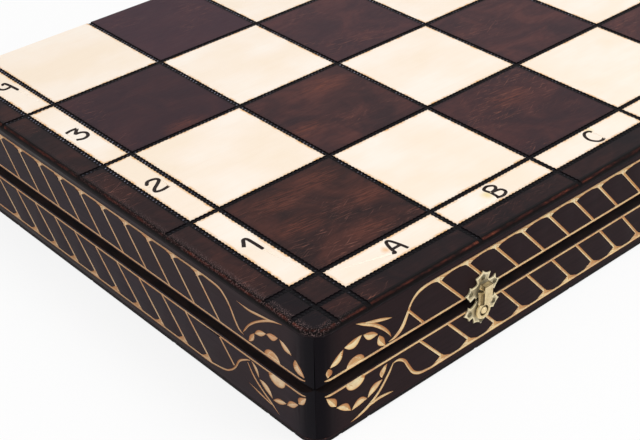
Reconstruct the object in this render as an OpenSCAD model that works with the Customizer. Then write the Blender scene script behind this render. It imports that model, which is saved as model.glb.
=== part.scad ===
// Folding chess box: two shallow trays joined by two butt hinges at the back and
// held shut by two swing latches at the front. Each tray is a frame of four mitred
// rails with half of the chess board as its outer panel.
// Origin: middle of the underside of the closed case, on the surface it stands on.
// +X runs along the board's files A to H, -Y is the latch side, +Z is up.

/* [Board] */
// Side of one board square
square = 60.5; // [56:0.5:70]
// Border from the outermost squares to the rim of the case
border_w = 28; // [25:0.5:36]
// Width of the strip that carries the letters and numbers
label_w = 15; // [10:0.5:18]
// Thickness of the board panels
board_t = 3; // [2.5:0.25:4.5]
// Width of the burned grid lines
line_w = 2.1; // [1:0.1:3]
// Depth of the burned grid lines
line_depth = 0.5; // [0.2:0.1:1]
// Radius of the two front corners, seen from above
corner_r = 9; // [6:0.5:12]
// Rounding of the panels' outer edges
edge_r = 1.8; // [1:0.1:2.2]

/* [Frame] */
// Height of the closed case
case_h = 55; // [52:1:70]
// Thickness of the rails
rail_t = 10; // [9.5:0.5:14]
// Gap between the two rims when the case is shut
seam_gap = 0.3; // [0.1:0.1:0.6]
// Bevel along the rims' outer edges
seam_bevel = 2.5; // [1:0.25:3]
// Gap between the two back faces when the case is folded right open
fold_gap = 0.3; // [0.2:0.1:0.6]

/* [Carving] */
// Depth of the carved lines
carve_depth = 0.8; // [0.4:0.1:1.2]
// Width of the carved lines
carve_w = 1.1; // [0.7:0.1:1.6]
// Distance of the carving's outer line from the board face
carve_outer = 6; // [5.5:0.25:8]
// Distance of the carving's inner line from the rim
carve_rim = 3.7; // [3.2:0.1:5]
// Distance between the slanted rungs
rung_pitch = 16; // [12:0.5:24]
// Sideways run of a rung between the two lines
rung_run = 15; // [8:0.5:20]
// Distance of a rosette's centre from the end of its rail
rosette_x = 21; // [19:0.5:28]
// Radius of a rosette
rosette_r = 14; // [10:0.5:15]
// Radius of the half disc in a rosette's middle
rosette_hub = 4.7; // [3:0.1:6]
// Free stretch between a rosette and the nearest rung
rosette_gap = 12; // [8:0.5:20]

/* [Lining] */
// Thickness of the felt lining
lining_t = 1; // [0.5:0.25:2]
// Gap between the lining and the rails
lining_gap = 0.3; // [0.1:0.1:1]

/* [Hinges] */
// Distance from the end of the case to the middle of the nearest hinge
hinge_end = 120; // [60:5:170]
// Length of the hinge barrel
hinge_len = 40; // [32:1:55]
// Radius of the barrel
knuckle_r = 2.4; // [2.1:0.1:3]
// Radius of the hinge pin
pin_r = 1.1; // [0.8:0.1:1.2]
// Radial clearance of the pin in the knuckles
pin_clear = 0.05; // [0.03:0.01:0.08]
// Gap between neighbouring knuckles
knuckle_gap = 0.25; // [0.15:0.05:0.4]
// Clearance round the barrel in the rails and in the other leaf
barrel_clear = 0.3; // [0.2:0.05:0.5]
// Thickness of the leaves
leaf_t = 1.2; // [1:0.1:1.5]
// Width of a leaf from the hinge axis
leaf_w = 8.5; // [7.5:0.25:9]
// Distance of the screws from the hinge axis
screw_y = 5.5; // [5:0.1:5.8]
// Distance between neighbouring screws
screw_pitch = 14; // [8:0.5:14]
// Radius of the screws
screw_r = 0.8; // [0.6:0.05:0.9]
// Radius of the screw heads
screw_head_r = 1.6; // [1.3:0.05:1.7]
// Length of the screws
screw_len = 8; // [6:0.5:10]

/* [Latches] */
// Distance from the end of the case to the middle of the nearest latch
latch_end = 90; // [55:5:150]
// Thickness of the ornamental plates
plate_t = 0.8; // [0.6:0.05:1]
// Scale of the ornamental plates' outline
plate_k = 1; // [0.9:0.02:1.1]
// Distance of the lever's pivot below the seam
pivot_drop = 6.5; // [6:0.1:7]
// Radius of the lever's round boss
boss_r = 4; // [3.4:0.1:4.2]
// Thickness of the lever's round boss
boss_t = 1.2; // [1:0.1:1.5]
// Radius of the rivet's shank
rivet_r = 0.9; // [0.7:0.05:1.1]
// Radius of the rivet's head
rivet_head_r = 1.6; // [1.4:0.05:1.9]
// Radial clearance of the lever on the rivet
rivet_clear = 0.06; // [0.03:0.01:0.1]
// Width of the lever's raised channel
channel_w = 4.9; // [4.4:0.1:5.6]
// Reach of the channel above the seam
channel_top = 7; // [6.6:0.1:7.4]
// Height of the channel's front off the rail face
channel_h = 4.2; // [4:0.1:5]
// Thickness of the lever's sheet
lever_t = 0.7; // [0.5:0.05:0.8]
// Radius of the catch peg on the upper plate
peg_r = 0.9; // [0.7:0.05:1]
// Height of the catch peg above the seam
peg_z = 4.6; // [4.2:0.1:4.8]
// Clearance between parts of the latch that slide past each other
latch_clear = 0.3; // [0.2:0.05:0.4]
// Radius of the plate nails' heads
nail_head_r = 0.9; // [0.75:0.05:1]
// Height of the plate nails' heads
nail_head_h = 0.5; // [0.3:0.05:0.7]
// Radius of the plate nails' shanks
nail_r = 0.5; // [0.35:0.05:0.6]
// Length of the plate nails' shanks below the plate
nail_len = 5; // [4:0.5:6]

/* [Hidden] */

FILES = 8;
RANKS = 4;
case_w = FILES * square + 2 * border_w;
case_d = RANKS * square + border_w;
seam_z = case_h / 2;
half_h = seam_z - seam_gap / 2;
carve_inner = half_h - carve_rim;
over = 1;

wood_dark = [0.2, 0.15, 0.14];
wood_side = [0.25, 0.19, 0.17];
felt = [0.16, 0.3, 0.2];
brass = [0.78, 0.72, 0.48];
steel = [0.7, 0.68, 0.6];

// ---- outline of the case seen from above ----

// Rectangle of the case with round front corners
module case_outline() {
    r = corner_r;
    translate([-case_w / 2, -case_d / 2 + r]) square([case_w, case_d - r]);
    translate([-case_w / 2 + r, -case_d / 2]) square([case_w - 2 * r, r + over]);
    for (side = [-1, 1])
        translate([side * (case_w / 2 - r), -case_d / 2 + r]) circle(r, $fn = 96);
}

// What a quarter round of radius edge_r leaves to cut away from a square edge
module edge_waste() {
    difference() {
        translate([0, -over]) square([edge_r + over, edge_r + over]);
        translate([0, edge_r]) circle(edge_r, $fn = 48);
    }
}

// Rounds the bottom outer edges of a panel: front, left and right
module panel_edge_waste() {
    straight_d = case_d - corner_r + over;
    straight_w = case_w - 2 * corner_r;
    for (side = [-1, 1]) {
        // left and right edges
        translate([side * (case_w / 2 - edge_r), case_d / 2 + over, 0])
            rotate([90, 0, 0])
                linear_extrude(straight_d)
                    scale([side, 1]) edge_waste();
        // front corners
        intersection() {
            translate([side * (case_w / 2 - corner_r), -case_d / 2 + corner_r, 0])
                rotate_extrude($fn = 96)
                    translate([corner_r - edge_r, 0]) edge_waste();
            translate([side > 0 ? case_w / 2 - corner_r : -case_w / 2 - over,
                    -case_d / 2 - over, -over])
                cube([corner_r + over, corner_r + over, edge_r + 2 * over]);
        }
    }
    // front edge
    translate([-straight_w / 2, -case_d / 2 + edge_r, 0])
        rotate([90, 0, 90])
            linear_extrude(straight_w)
                scale([-1, 1]) edge_waste();
}

// ---- the two trays; the base stands on z = 0, the lid is its mirror image ----

module as_lid() {
    translate([0, 0, case_h]) mirror([0, 0, 1]) children();
}

// The burned grid: lines between the squares and round the label strips
module grid_lines() {
    for (i = [0 : FILES])
        translate([(i - FILES / 2) * square - line_w / 2, -case_d / 2 - over])
            square([line_w, case_d + 2 * over]);
    for (side = [-1, 1])
        translate([side * (FILES / 2 * square + label_w) - line_w / 2, -case_d / 2 - over])
            square([line_w, case_d + 2 * over]);
    for (j = [0 : RANKS - 1])
        translate([-case_w / 2 - over, case_d / 2 - (RANKS - j) * square - line_w / 2])
            square([case_w + 2 * over, line_w]);
    translate([-case_w / 2 - over, case_d / 2 - RANKS * square - label_w - line_w / 2])
        square([case_w + 2 * over, line_w]);
}

module half_board() {
    difference() {
        linear_extrude(board_t) case_outline();
        panel_edge_waste();
        translate([0, 0, -over]) linear_extrude(line_depth + over) grid_lines();
    }
}

module half_lining() {
    inset = rail_t + lining_gap;
    translate([-case_w / 2 + inset, -case_d / 2 + inset, board_t])
        cube([case_w - 2 * inset, case_d - 2 * inset, lining_t]);
}

// Straight rail with mitred ends: "front", "back", "left" or "right"
module rail_blank(where) {
    w = case_w / 2;
    d = case_d / 2;
    t = rail_t;
    outer = where == "front" ? [[-w, -d], [w, -d], [w - t, -d + t], [-w + t, -d + t]]
        : where == "back" ? [[-w, d], [-w + t, d - t], [w - t, d - t], [w, d]]
        : where == "left" ? [[-w, -d], [-w + t, -d + t], [-w + t, d - t], [-w, d]]
        : [[w, -d], [w, d], [w - t, d - t], [w - t, -d + t]];
    translate([0, 0, board_t])
        linear_extrude(half_h - board_t)
            intersection() {
                case_outline();
                polygon(outer);
            }
}

// Straight bevel along a face's rim; it fades out on the round corners
module bevel_waste(length) {
    b = seam_bevel;
    translate([-length / 2, 0, half_h])
        rotate([90, 0, 90])
            linear_extrude(length)
                polygon([[-over, over], [b + over, over], [b, 0], [0, -b], [-over, -b]]);
}

// Every piece of the carving is cut from y = 0 down to carve_depth, x runs along the
// rail and z away from the board face
module carve() {
    translate([0, carve_depth, 0]) rotate([90, 0, 0]) linear_extrude(carve_depth + over) children();
}

module carve_disc(x, z, r, facets) {
    translate([x, carve_depth, z]) rotate([90, 0, 0]) cylinder(r = r, h = carve_depth + over, $fn = facets);
}

// One half rosette on the inner line: a half disc ringed by five petals
module rosette(x) {
    petals = 5;
    petal_r = rosette_r * 0.52;
    intersection() {
        carve_disc(x, carve_inner, rosette_hub, 40);
        translate([x - rosette_hub, -over, carve_inner - rosette_hub])
            cube([2 * rosette_hub, 2 * over + carve_depth, rosette_hub + carve_w / 2]);
    }
    for (i = [0 : petals - 1]) {
        angle = (i + 0.5) * 180 / petals;
        reach = rosette_r + petal_r * 0.55;
        intersection() {
            carve_disc(x, carve_inner, rosette_r, 64);
            carve_disc(x + reach * cos(angle), carve_inner - reach * sin(angle), petal_r, 40);
        }
    }
}

// The carving of one rail face, as a cutter in the face y = 0
module carving_waste(length, lean) {
    plain = rosette_x + rosette_r + rosette_gap;
    rows = floor((length - 2 * plain - rung_run) / rung_pitch);
    first = -rows * rung_pitch / 2;
    line_l = length - 2 * (rosette_x - rosette_r);
    ladder_l = rows * rung_pitch + rung_run + 2 * carve_w;
    run = lean * rung_run / 2;
    translate([-line_l / 2, -over, carve_inner]) cube([line_l, carve_depth + over, carve_w]);
    translate([-ladder_l / 2, -over, carve_outer - carve_w]) cube([ladder_l, carve_depth + over, carve_w]);
    for (i = [0 : rows])
        translate([first + i * rung_pitch - carve_w / 2, 0, 0])
            carve() polygon([[-run, carve_outer - carve_w / 2], [carve_w - run, carve_outer - carve_w / 2],
                [carve_w + run, carve_inner + carve_w / 2], [run, carve_inner + carve_w / 2]]);
    for (side = [-1, 1]) rosette(side * (length / 2 - rosette_x));
}

module half_front_rail(lean) {
    difference() {
        rail_blank("front");
        translate([0, -case_d / 2, 0]) {
            bevel_waste(case_w);
            carving_waste(case_w, lean);
        }
    }
}

module half_side_rail(side, lean) {
    difference() {
        rail_blank(side < 0 ? "left" : "right");
        translate([side * case_w / 2, 0, 0]) rotate([0, 0, side * 90]) {
            bevel_waste(case_d + 2 * over);
            carving_waste(case_d, lean);
        }
    }
}

module half_back_rail() {
    difference() {
        rail_blank("back");
        at_hinges() {
            hinge_mortise();
            at_screws() translate([0, 0, -screw_len])
                cylinder(r = screw_r + pin_clear, h = screw_len + over, $fn = 24);
        }
    }
}

module base_board() color(wood_dark) half_board();
module base_front_rail() color(wood_side) difference() {
    half_front_rail(1);
    at_latches() {
        nail_holes(BASE_NAILS);
        rivet_hole();
    }
}
module base_back_rail() color(wood_side) half_back_rail();
module base_left_rail() color(wood_side) half_side_rail(-1, 1);
module base_right_rail() color(wood_side) half_side_rail(1, 1);
module base_lining() color(felt) half_lining();

module lid_board() color(wood_dark) as_lid() half_board();
module lid_front_rail() color(wood_side) difference() {
    as_lid() half_front_rail(-1);
    at_latches() nail_holes(LID_NAILS);
}
module lid_back_rail() color(wood_side) as_lid() half_back_rail();
module lid_left_rail() color(wood_side) as_lid() half_side_rail(-1, -1);
module lid_right_rail() color(wood_side) as_lid() half_side_rail(1, -1);
module lid_lining() color(felt) as_lid() half_lining();

// ---- hinges: leaves let into the rims, barrel in the line of the back faces ----

KNUCKLES = 5;
hinge_x = case_w / 2 - hinge_end;
hinge_y = case_d / 2 + fold_gap / 2;
knuckle_l = (hinge_len - (KNUCKLES - 1) * knuckle_gap) / KNUCKLES;
leaf_top = -seam_gap / 2;
finger_gap = knuckle_gap * 0.6;
head_sink = 0.05;
slot_w = 0.35;

// Start of knuckle i along the barrel
function knuckle_x(i) = -hinge_len / 2 + i * (knuckle_l + knuckle_gap);

module at_hinges() {
    for (side = [-1, 1]) translate([side * hinge_x, hinge_y, seam_z]) children();
}

// Places children at a leaf's screws, with the screw heads up
module at_screws() {
    for (i = [-1 : 1]) translate([i * screw_pitch, -screw_y, leaf_top]) children();
}

// Cylinder along X from x, of length l, about the hinge axis
module bar(x, l, r) {
    translate([x, 0, 0]) rotate([0, 90, 0]) cylinder(r = r, h = l, $fn = 48);
}

module hinge_mortise() {
    play = 0.2;
    translate([-hinge_len / 2 - play, -leaf_w - play, leaf_top - leaf_t])
        cube([hinge_len + 2 * play, leaf_w + play + over, leaf_t + over]);
    bar(-hinge_len / 2 - barrel_clear, hinge_len + 2 * barrel_clear, knuckle_r + barrel_clear);
}

// One leaf below the seam; its knuckles are those whose number has this parity
module hinge_leaf(parity) {
    difference() {
        union() {
            translate([-hinge_len / 2, -leaf_w, leaf_top - leaf_t])
                cube([hinge_len, leaf_w, leaf_t]);
            for (i = [parity : 2 : KNUCKLES - 1]) bar(knuckle_x(i), knuckle_l, knuckle_r);
        }
        for (i = [1 - parity : 2 : KNUCKLES - 1])
            bar(knuckle_x(i) - finger_gap, knuckle_l + 2 * finger_gap, knuckle_r + barrel_clear);
        bar(-hinge_len / 2 - over, hinge_len + 2 * over, pin_r + pin_clear);
        at_screws() screw_shape(pin_clear, 0);
    }
}

// Countersunk screw, head up, grown all round by "grow"; a grown one is open above its head
module screw_shape(grow, slot) {
    head_h = leaf_t * 0.65;
    head = [[screw_r + grow, -head_sink - head_h], [screw_head_r + grow, -head_sink]];
    top = grow > 0 ? [[screw_head_r + grow, over], [0, over]] : [[0, -head_sink]];
    difference() {
        rotate_extrude($fn = 32)
            polygon(concat([[0, -screw_len], [screw_r + grow, -screw_len]], head, top));
        if (slot > 0)
            translate([-screw_head_r - over, -slot / 2, -head_sink - slot])
                cube([2 * (screw_head_r + over), slot, slot + over]);
    }
}

module hinge_screws() {
    at_hinges() at_screws() screw_shape(0, slot_w);
}

module hinge_base_leaf(side) color(brass)
    translate([side * hinge_x, hinge_y, seam_z]) hinge_leaf(0);
module hinge_lid_leaf(side) color(brass)
    as_lid() translate([side * hinge_x, hinge_y, seam_z]) hinge_leaf(1);
module hinge_pin(side) color(steel)
    translate([side * hinge_x, hinge_y, seam_z]) bar(-hinge_len / 2, hinge_len, pin_r);
module hinge_base_screws() color(brass) hinge_screws();
module hinge_lid_screws() color(brass) as_lid() hinge_screws();

// ---- latches: drawn flat, x along the rail, y up from the seam, z off the face ----

// Right half of the upper plate's outline
LID_PLATE = [[0, 0.3], [3.9, 0.3], [4.4, 1.5], [7.1, 0.3], [8.3, 2.2], [9.8, 4], [8, 4.8],
    [7.4, 7.4], [6.2, 6.4], [4.4, 6.4], [3.1, 7.2], [4.2, 10.1], [1.8, 10.7], [0, 12.3]];
// Right half of the lower plate's outline
BASE_PLATE = [[0, -0.9], [3.2, -0.9], [4.3, -2.3], [6.6, -3.4], [7.8, -2.2], [8.9, -4.2],
    [10.2, -5.7], [8.5, -7], [7.3, -9.1], [5.2, -8.4], [4.3, -11.6], [2.4, -12], [0, -13.8]];
LID_NAILS = [[-7, 4], [7, 4], [0, 9.2]];
BASE_NAILS = [[-7, -5.9], [7, -5.9], [0, -12]];
latch_x = case_w / 2 - latch_end;

module at_latches() {
    for (side = [-1, 1]) at_latch(side) children();
}
module at_latch(side) {
    translate([side * latch_x, -case_d / 2, seam_z]) rotate([90, 0, 0]) children();
}

// A plate's whole outline, from its right half
module plate_outline(half) {
    n = len(half) - 1;
    polygon(plate_k * concat(half, [for (i = [n - 1 : -1 : 1]) [-half[i][0], half[i][1]]]));
}

module at_nails(points) {
    for (p = points) translate([p[0] * plate_k, p[1] * plate_k, 0]) children();
}

module nail_holes(points) {
    at_nails(points)
        translate([0, 0, -nail_len])
            cylinder(r = nail_r + pin_clear, h = nail_len + plate_t + over, $fn = 24);
}

module rivet_hole() {
    translate([0, -pivot_drop, -nail_len])
        cylinder(r = rivet_r + pin_clear, h = nail_len + plate_t + over, $fn = 24);
}

module catch_plate() {
    difference() {
        linear_extrude(plate_t) plate_outline(LID_PLATE);
        nail_holes(LID_NAILS);
    }
    // peg that the lever's channel drops over
    translate([0, peg_z, plate_t / 2])
        cylinder(r = peg_r, h = channel_h - lever_t - latch_clear - plate_t / 2, $fn = 32);
}

module base_plate() {
    difference() {
        linear_extrude(plate_t) plate_outline(BASE_PLATE);
        nail_holes(BASE_NAILS);
        rivet_hole();
    }
}

// Nails with domed heads on the plate
module plate_nails(points) {
    dome_r = (nail_head_r * nail_head_r + nail_head_h * nail_head_h) / (2 * nail_head_h);
    at_nails(points) {
        translate([0, 0, -nail_len]) cylinder(r = nail_r, h = nail_len + plate_t + nail_head_h / 5, $fn = 24);
        intersection() {
            translate([0, 0, plate_t + nail_head_h - dome_r]) sphere(dome_r, $fn = 48);
            translate([0, 0, plate_t]) cylinder(r = nail_head_r + over, h = nail_head_h + over, $fn = 24);
        }
    }
}

// Underside of the lever's channel, high enough to swing over the nail heads
channel_foot = plate_t + nail_head_h + latch_clear;
boss_foot = plate_t + latch_clear / 3;
slope_start = -1.1;
slope_end = -pivot_drop + boss_r * 0.45;

module lever() {
    side_w = (channel_w - 2 * lever_t);
    ring_w = boss_r * 0.42;
    notch_l = 2 * (peg_r + latch_clear) + latch_clear;
    difference() {
        union() {
            translate([0, -pivot_drop, boss_foot]) cylinder(r = boss_r, h = boss_t, $fn = 64);
            lever_channel();
        }
        // dished middle of the boss, and the bore for the rivet
        translate([0, -pivot_drop, boss_foot + boss_t * 0.65]) cylinder(r = boss_r - ring_w, h = boss_t, $fn = 48);
        translate([0, -pivot_drop, 0]) cylinder(r = rivet_r + rivet_clear, h = channel_h, $fn = 32);
        // hollow of the channel, open towards the plates
        translate([-side_w / 2, slope_start, 0])
            cube([side_w, channel_top - lever_t - slope_start, channel_h - lever_t]);
        // notch in the left wall, through which the peg leaves
        translate([-channel_w, peg_z - notch_l + peg_r + latch_clear, 0])
            cube([channel_w, notch_l, channel_h - lever_t]);
    }
}

// The channel's outside: straight, then sloping down onto the boss
module lever_channel() {
    translate([channel_w / 2, 0, 0])
        rotate([0, -90, 0])
            linear_extrude(channel_w)
                polygon([for (p = [[slope_end, boss_foot], [slope_start, channel_foot],
                    [channel_top, channel_foot], [channel_top, channel_h],
                    [slope_start, channel_h], [slope_end, boss_foot + boss_t]]) [p[1], p[0]]]);
}

module rivet() {
    head_z = boss_foot + boss_t * 0.65 + latch_clear / 3;
    head_h = rivet_head_r * 0.65;
    dome_r = (rivet_head_r * rivet_head_r + head_h * head_h) / (2 * head_h);
    translate([0, -pivot_drop, -nail_len]) cylinder(r = rivet_r, h = nail_len + head_z + head_h / 5, $fn = 32);
    intersection() {
        translate([0, -pivot_drop, head_z + head_h - dome_r]) sphere(dome_r, $fn = 64);
        translate([0, -pivot_drop, head_z]) cylinder(r = rivet_head_r + over, h = head_h + over, $fn = 24);
    }
}

module latch_catch_plate(side) color(brass) at_latch(side) catch_plate();
module latch_base_plate(side) color(brass) at_latch(side) base_plate();
module latch_lever(side) color(brass) at_latch(side) lever();
module latch_rivet(side) color(brass) at_latch(side) rivet();
module latch_lid_nails() color(brass) at_latches() plate_nails(LID_NAILS);
module latch_base_nails() color(brass) at_latches() plate_nails(BASE_NAILS);

base_board();
base_front_rail();
base_back_rail();
base_left_rail();
base_right_rail();
base_lining();
lid_board();
lid_front_rail();
lid_back_rail();
lid_left_rail();
lid_right_rail();
lid_lining();
hinge_base_leaf(-1);  // hinge_left_base_leaf
hinge_base_leaf(1);  // hinge_right_base_leaf
hinge_lid_leaf(-1);  // hinge_left_lid_leaf
hinge_lid_leaf(1);  // hinge_right_lid_leaf
hinge_pin(-1);  // hinge_left_pin
hinge_pin(1);  // hinge_right_pin
hinge_base_screws();
hinge_lid_screws();
latch_catch_plate(-1);  // latch_left_catch_plate
latch_catch_plate(1);  // latch_right_catch_plate
latch_base_plate(-1);  // latch_left_base_plate
latch_base_plate(1);  // latch_right_base_plate
latch_lever(-1);  // latch_left_lever
latch_lever(1);  // latch_right_lever
latch_rivet(-1);  // latch_left_rivet
latch_rivet(1);  // latch_right_rivet
latch_lid_nails();
latch_base_nails();
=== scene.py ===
"""Looks of the folding chess box: carved rails, burned board, brass latches, felt lining."""

import math

import bmesh
import bpy
import numpy as np
from mathutils import Matrix, Vector
from mathutils.geometry import delaunay_2d_cdt


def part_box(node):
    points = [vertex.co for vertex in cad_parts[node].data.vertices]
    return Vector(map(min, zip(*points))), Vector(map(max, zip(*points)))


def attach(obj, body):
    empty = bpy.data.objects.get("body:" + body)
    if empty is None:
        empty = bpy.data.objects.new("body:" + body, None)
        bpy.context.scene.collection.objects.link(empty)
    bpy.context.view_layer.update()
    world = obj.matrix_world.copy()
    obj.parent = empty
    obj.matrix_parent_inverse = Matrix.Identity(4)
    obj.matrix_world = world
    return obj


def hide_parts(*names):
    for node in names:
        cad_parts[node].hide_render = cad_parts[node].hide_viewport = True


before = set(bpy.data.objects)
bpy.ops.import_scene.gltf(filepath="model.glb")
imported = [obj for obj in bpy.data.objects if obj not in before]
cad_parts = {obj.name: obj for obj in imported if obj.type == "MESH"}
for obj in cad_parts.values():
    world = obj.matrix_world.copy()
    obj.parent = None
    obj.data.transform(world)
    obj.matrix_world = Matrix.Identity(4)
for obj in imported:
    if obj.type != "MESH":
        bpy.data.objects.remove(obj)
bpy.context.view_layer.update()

# ---- sizes, in millimetres; the frame gives what the solids fix ----

MM = 0.001


def frame_mm(node, corner, axis):
    """One coordinate of a node's box, in millimetres."""
    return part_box(node)[corner][axis] / MM


HALF_W = frame_mm("base_board", 1, 0)
HALF_D = frame_mm("base_board", 1, 1)
CASE_H = frame_mm("lid_board", 1, 2)
BOARD_T = frame_mm("base_board", 1, 2)
RIM = frame_mm("base_front_rail", 1, 2)
RAIL_T = HALF_D - frame_mm("base_back_rail", 0, 1)
BORDER = 28
LABEL = 15
SQUARE = (2 * HALF_W - 2 * BORDER) / 8
CORNER_R = 9
EDGE_R = 1.8
LINE_W = 2.1
LINE_DEPTH = 0.5
BEVEL = 2.5
CHAMFER = 0.16
MITRE_GAP = 0.02
# how far the mitre has opened at the seam
MITRE_CRACK = {"lid": 0.16, "base": 0.03}


def place_object(name, data):
    body = bpy.data.objects.new(name, data)
    bpy.context.scene.collection.objects.link(body)
    return body


# ---- meshes ----


def smooth_rows(rows, steps):
    """Curve through rows of numbers, with this many steps between neighbours."""
    p = np.array(rows, float)
    p = np.vstack([2 * p[0] - p[1], p, 2 * p[-1] - p[-2]])
    out = []
    for i in range(1, len(p) - 2):
        for k in range(steps):
            t = k / steps
            a = 2 * p[i]
            b = p[i + 1] - p[i - 1]
            c = 2 * p[i - 1] - 5 * p[i] + 4 * p[i + 1] - p[i + 2]
            d = 3 * p[i] - p[i - 1] - 3 * p[i + 1] + p[i + 2]
            out.append((a + b * t + c * t**2 + d * t**3) / 2)
    out.append(p[-2])
    return np.array(out)


def nearest(points, a, b):
    """For each point and each stretch from a to b: the share along it, and the distance from it."""
    ab = b - a
    share = np.clip(((points[:, None] - a) * ab).sum(2) / (ab * ab).sum(1), 0, 1)
    return share, np.linalg.norm(points[:, None] - a - share[..., None] * ab, axis=2)


class Stroke:
    """A V cut: a spine whose rows are x, y and half width."""

    STEEP = 1.1

    def __init__(self, rows, depth, steps=0):
        rows = smooth_rows(rows, steps) if steps else np.array(rows, float)
        self.at = rows[:, :2]
        self.half = np.maximum(rows[:, 2], 0.03)
        self.depth = np.minimum(depth, self.half * self.STEEP)

    def outline(self):
        along = np.gradient(self.at, axis=0)
        side = np.stack([-along[:, 1], along[:, 0]], 1)
        side *= (self.half / np.linalg.norm(side, axis=1))[:, None]
        return np.vstack([self.at - side, (self.at + side)[::-1]])

    def inner_line(self):
        return self.at

    def depth_at(self, points):
        t, gap = nearest(points, self.at[:-1], self.at[1:])
        half, deep = (v[:-1] * (1 - t) + v[1:] * t for v in (self.half, self.depth))
        return (deep * np.clip(1 - gap / half, 0, 1)).max(axis=1)


class HalfDisc:
    """A shallow scoop under a straight line; it bulges to lower y."""

    WALL = 0.3
    ARC_SPOTS = 17

    def __init__(self, x, y, radius, height, depth):
        self.at = np.array([x, y])
        self.size = np.array([radius, height])
        self.depth = depth

    def arc(self, share):
        angles = np.linspace(0, math.pi, self.ARC_SPOTS)
        unit = np.stack([np.cos(angles), -np.sin(angles)], 1)
        return self.at + unit * self.size * share

    def outline(self):
        return self.arc(1)

    def inner_line(self):
        return self.arc(1 - self.WALL)

    def depth_at(self, points):
        rho = np.linalg.norm((points - self.at) / self.size, axis=1)
        inside = self.at[1] - points[:, 1] > -0.01
        return self.depth * np.clip((1 - rho) / self.WALL, 0, 1) * inside


def signed_area(rows):
    x, y = np.array(rows, float).T
    return (x * np.roll(y, -1) - np.roll(x, -1) * y).sum() / 2


def cut_patch(outline, cuts, lines=()):
    """Triangles of a flat patch that follow its cuts: points, faces, cut or not, cut depths."""
    points, edges, faces = [], [], []

    def add(rows, closed):
        start = len(points)
        if closed and signed_area(rows) < 0:
            rows = rows[::-1]
        points.extend(Vector((float(r[0]), float(r[1]))) for r in rows)
        if closed:
            faces.append(list(range(start, len(points))))
        else:
            edges.extend((i, i + 1) for i in range(start, len(points) - 1))

    add(outline, True)
    for cut in cuts:
        add(cut.outline(), True)
        add(cut.inner_line(), False)
    for line in lines:
        add(line, False)
    found, _, tris, _, _, origin = delaunay_2d_cdt(points, edges, faces, 1, 1e-5)
    flat = np.array([(p.x, p.y) for p in found])
    is_cut = [any(f > 0 for f in origin[i]) for i in range(len(tris))]
    depth = np.zeros(len(flat))
    for cut in cuts:
        shape = cut.outline()
        near = np.all((flat > shape.min(0) - 0.1) & (flat < shape.max(0) + 0.1), axis=1)
        if near.any():
            depth[near] = np.maximum(depth[near], cut.depth_at(flat[near]))
    return flat, [list(t) for t in tris], is_cut, depth


def ring_faces(a, b):
    """Faces between two closed loops of vertices."""
    return [[p, q, s, r] for p, q, r, s in zip(a, a[1:] + a[:1], b, b[1:] + b[:1])]


def is_crease(edge, limit):
    """True where an edge folds past the limit or parts two materials."""
    if len(edge.link_faces) != 2:
        return True
    a, b = edge.link_faces
    return a.material_index != b.material_index or a.normal.dot(b.normal) < limit


def make_piece(name, verts, faces, materials, picks, values=None, face_values=None, angle=25):
    """A closed mesh in millimetres, with its doubles merged and its faces turned outwards.

    picks gives each face's material, values and face_values the numbers that the materials read.
    """
    mesh = bpy.data.meshes.new(name)
    mesh.from_pydata((np.array(verts, float) * MM).tolist(), [], faces)
    for m in materials:
        mesh.materials.append(m)
    mesh.polygons.foreach_set("material_index", picks)
    for domain, group in (("POINT", values), ("FACE", face_values)):
        for key, numbers in (group or {}).items():
            layer = mesh.attributes.new(key, "FLOAT", domain)
            layer.data.foreach_set("value", np.array(numbers, np.float32))
    bm = bmesh.new()
    bm.from_mesh(mesh)
    bmesh.ops.remove_doubles(bm, verts=bm.verts, dist=2e-6)
    bmesh.ops.dissolve_degenerate(bm, edges=bm.edges, dist=1e-7)
    bmesh.ops.recalc_face_normals(bm, faces=bm.faces)
    limit = math.cos(math.radians(angle))
    for face in bm.faces:
        face.smooth = True
    for edge in bm.edges:
        edge.smooth = not is_crease(edge, limit)
    bm.to_mesh(mesh)
    bm.free()
    return place_object(name, mesh)


# ---- materials ----


def to_linear(code):
    """Linear RGBA of a colour written as in a picture, such as 'e0b878'."""
    parts = [int(code[i : i + 2], 16) / 255 for i in (0, 2, 4)]
    return tuple(((c + 0.055) / 1.055) ** 2.4 if c > 0.04045 else c / 12.92 for c in parts) + (1,)


class Nodes:
    """Builds a node tree; a colour is written as in a picture, such as 'e0b878'."""

    def __init__(self, tree):
        self.tree = tree

    def add(self, kind, inputs=None, **settings):
        node = self.tree.nodes.new("ShaderNode" + kind)
        for key, value in settings.items():
            setattr(node, key, value)
        for key, value in (inputs or {}).items():
            self.put(node.inputs[key], value)
        return node

    def put(self, socket, value):
        if isinstance(value, bpy.types.NodeSocket):
            self.tree.links.new(value, socket)
        else:
            socket.default_value = to_linear(value) if isinstance(value, str) else value

    def math(self, operation, a, b=0.0):
        return self.add("Math", {0: a, 1: b}, operation=operation).outputs[0]

    def times(self, result, *factors):
        for factor in factors:
            result = self.math("MULTIPLY", result, factor)
        return result

    def seen(self):
        """1 for rays from the camera and for those that mirrors and glass send on, else 0."""
        rays = self.add("LightPath").outputs
        direct = self.math("MAXIMUM", rays["Is Camera Ray"], rays["Is Glossy Ray"])
        return self.math("MAXIMUM", direct, rays["Is Transmission Ray"])


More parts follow.
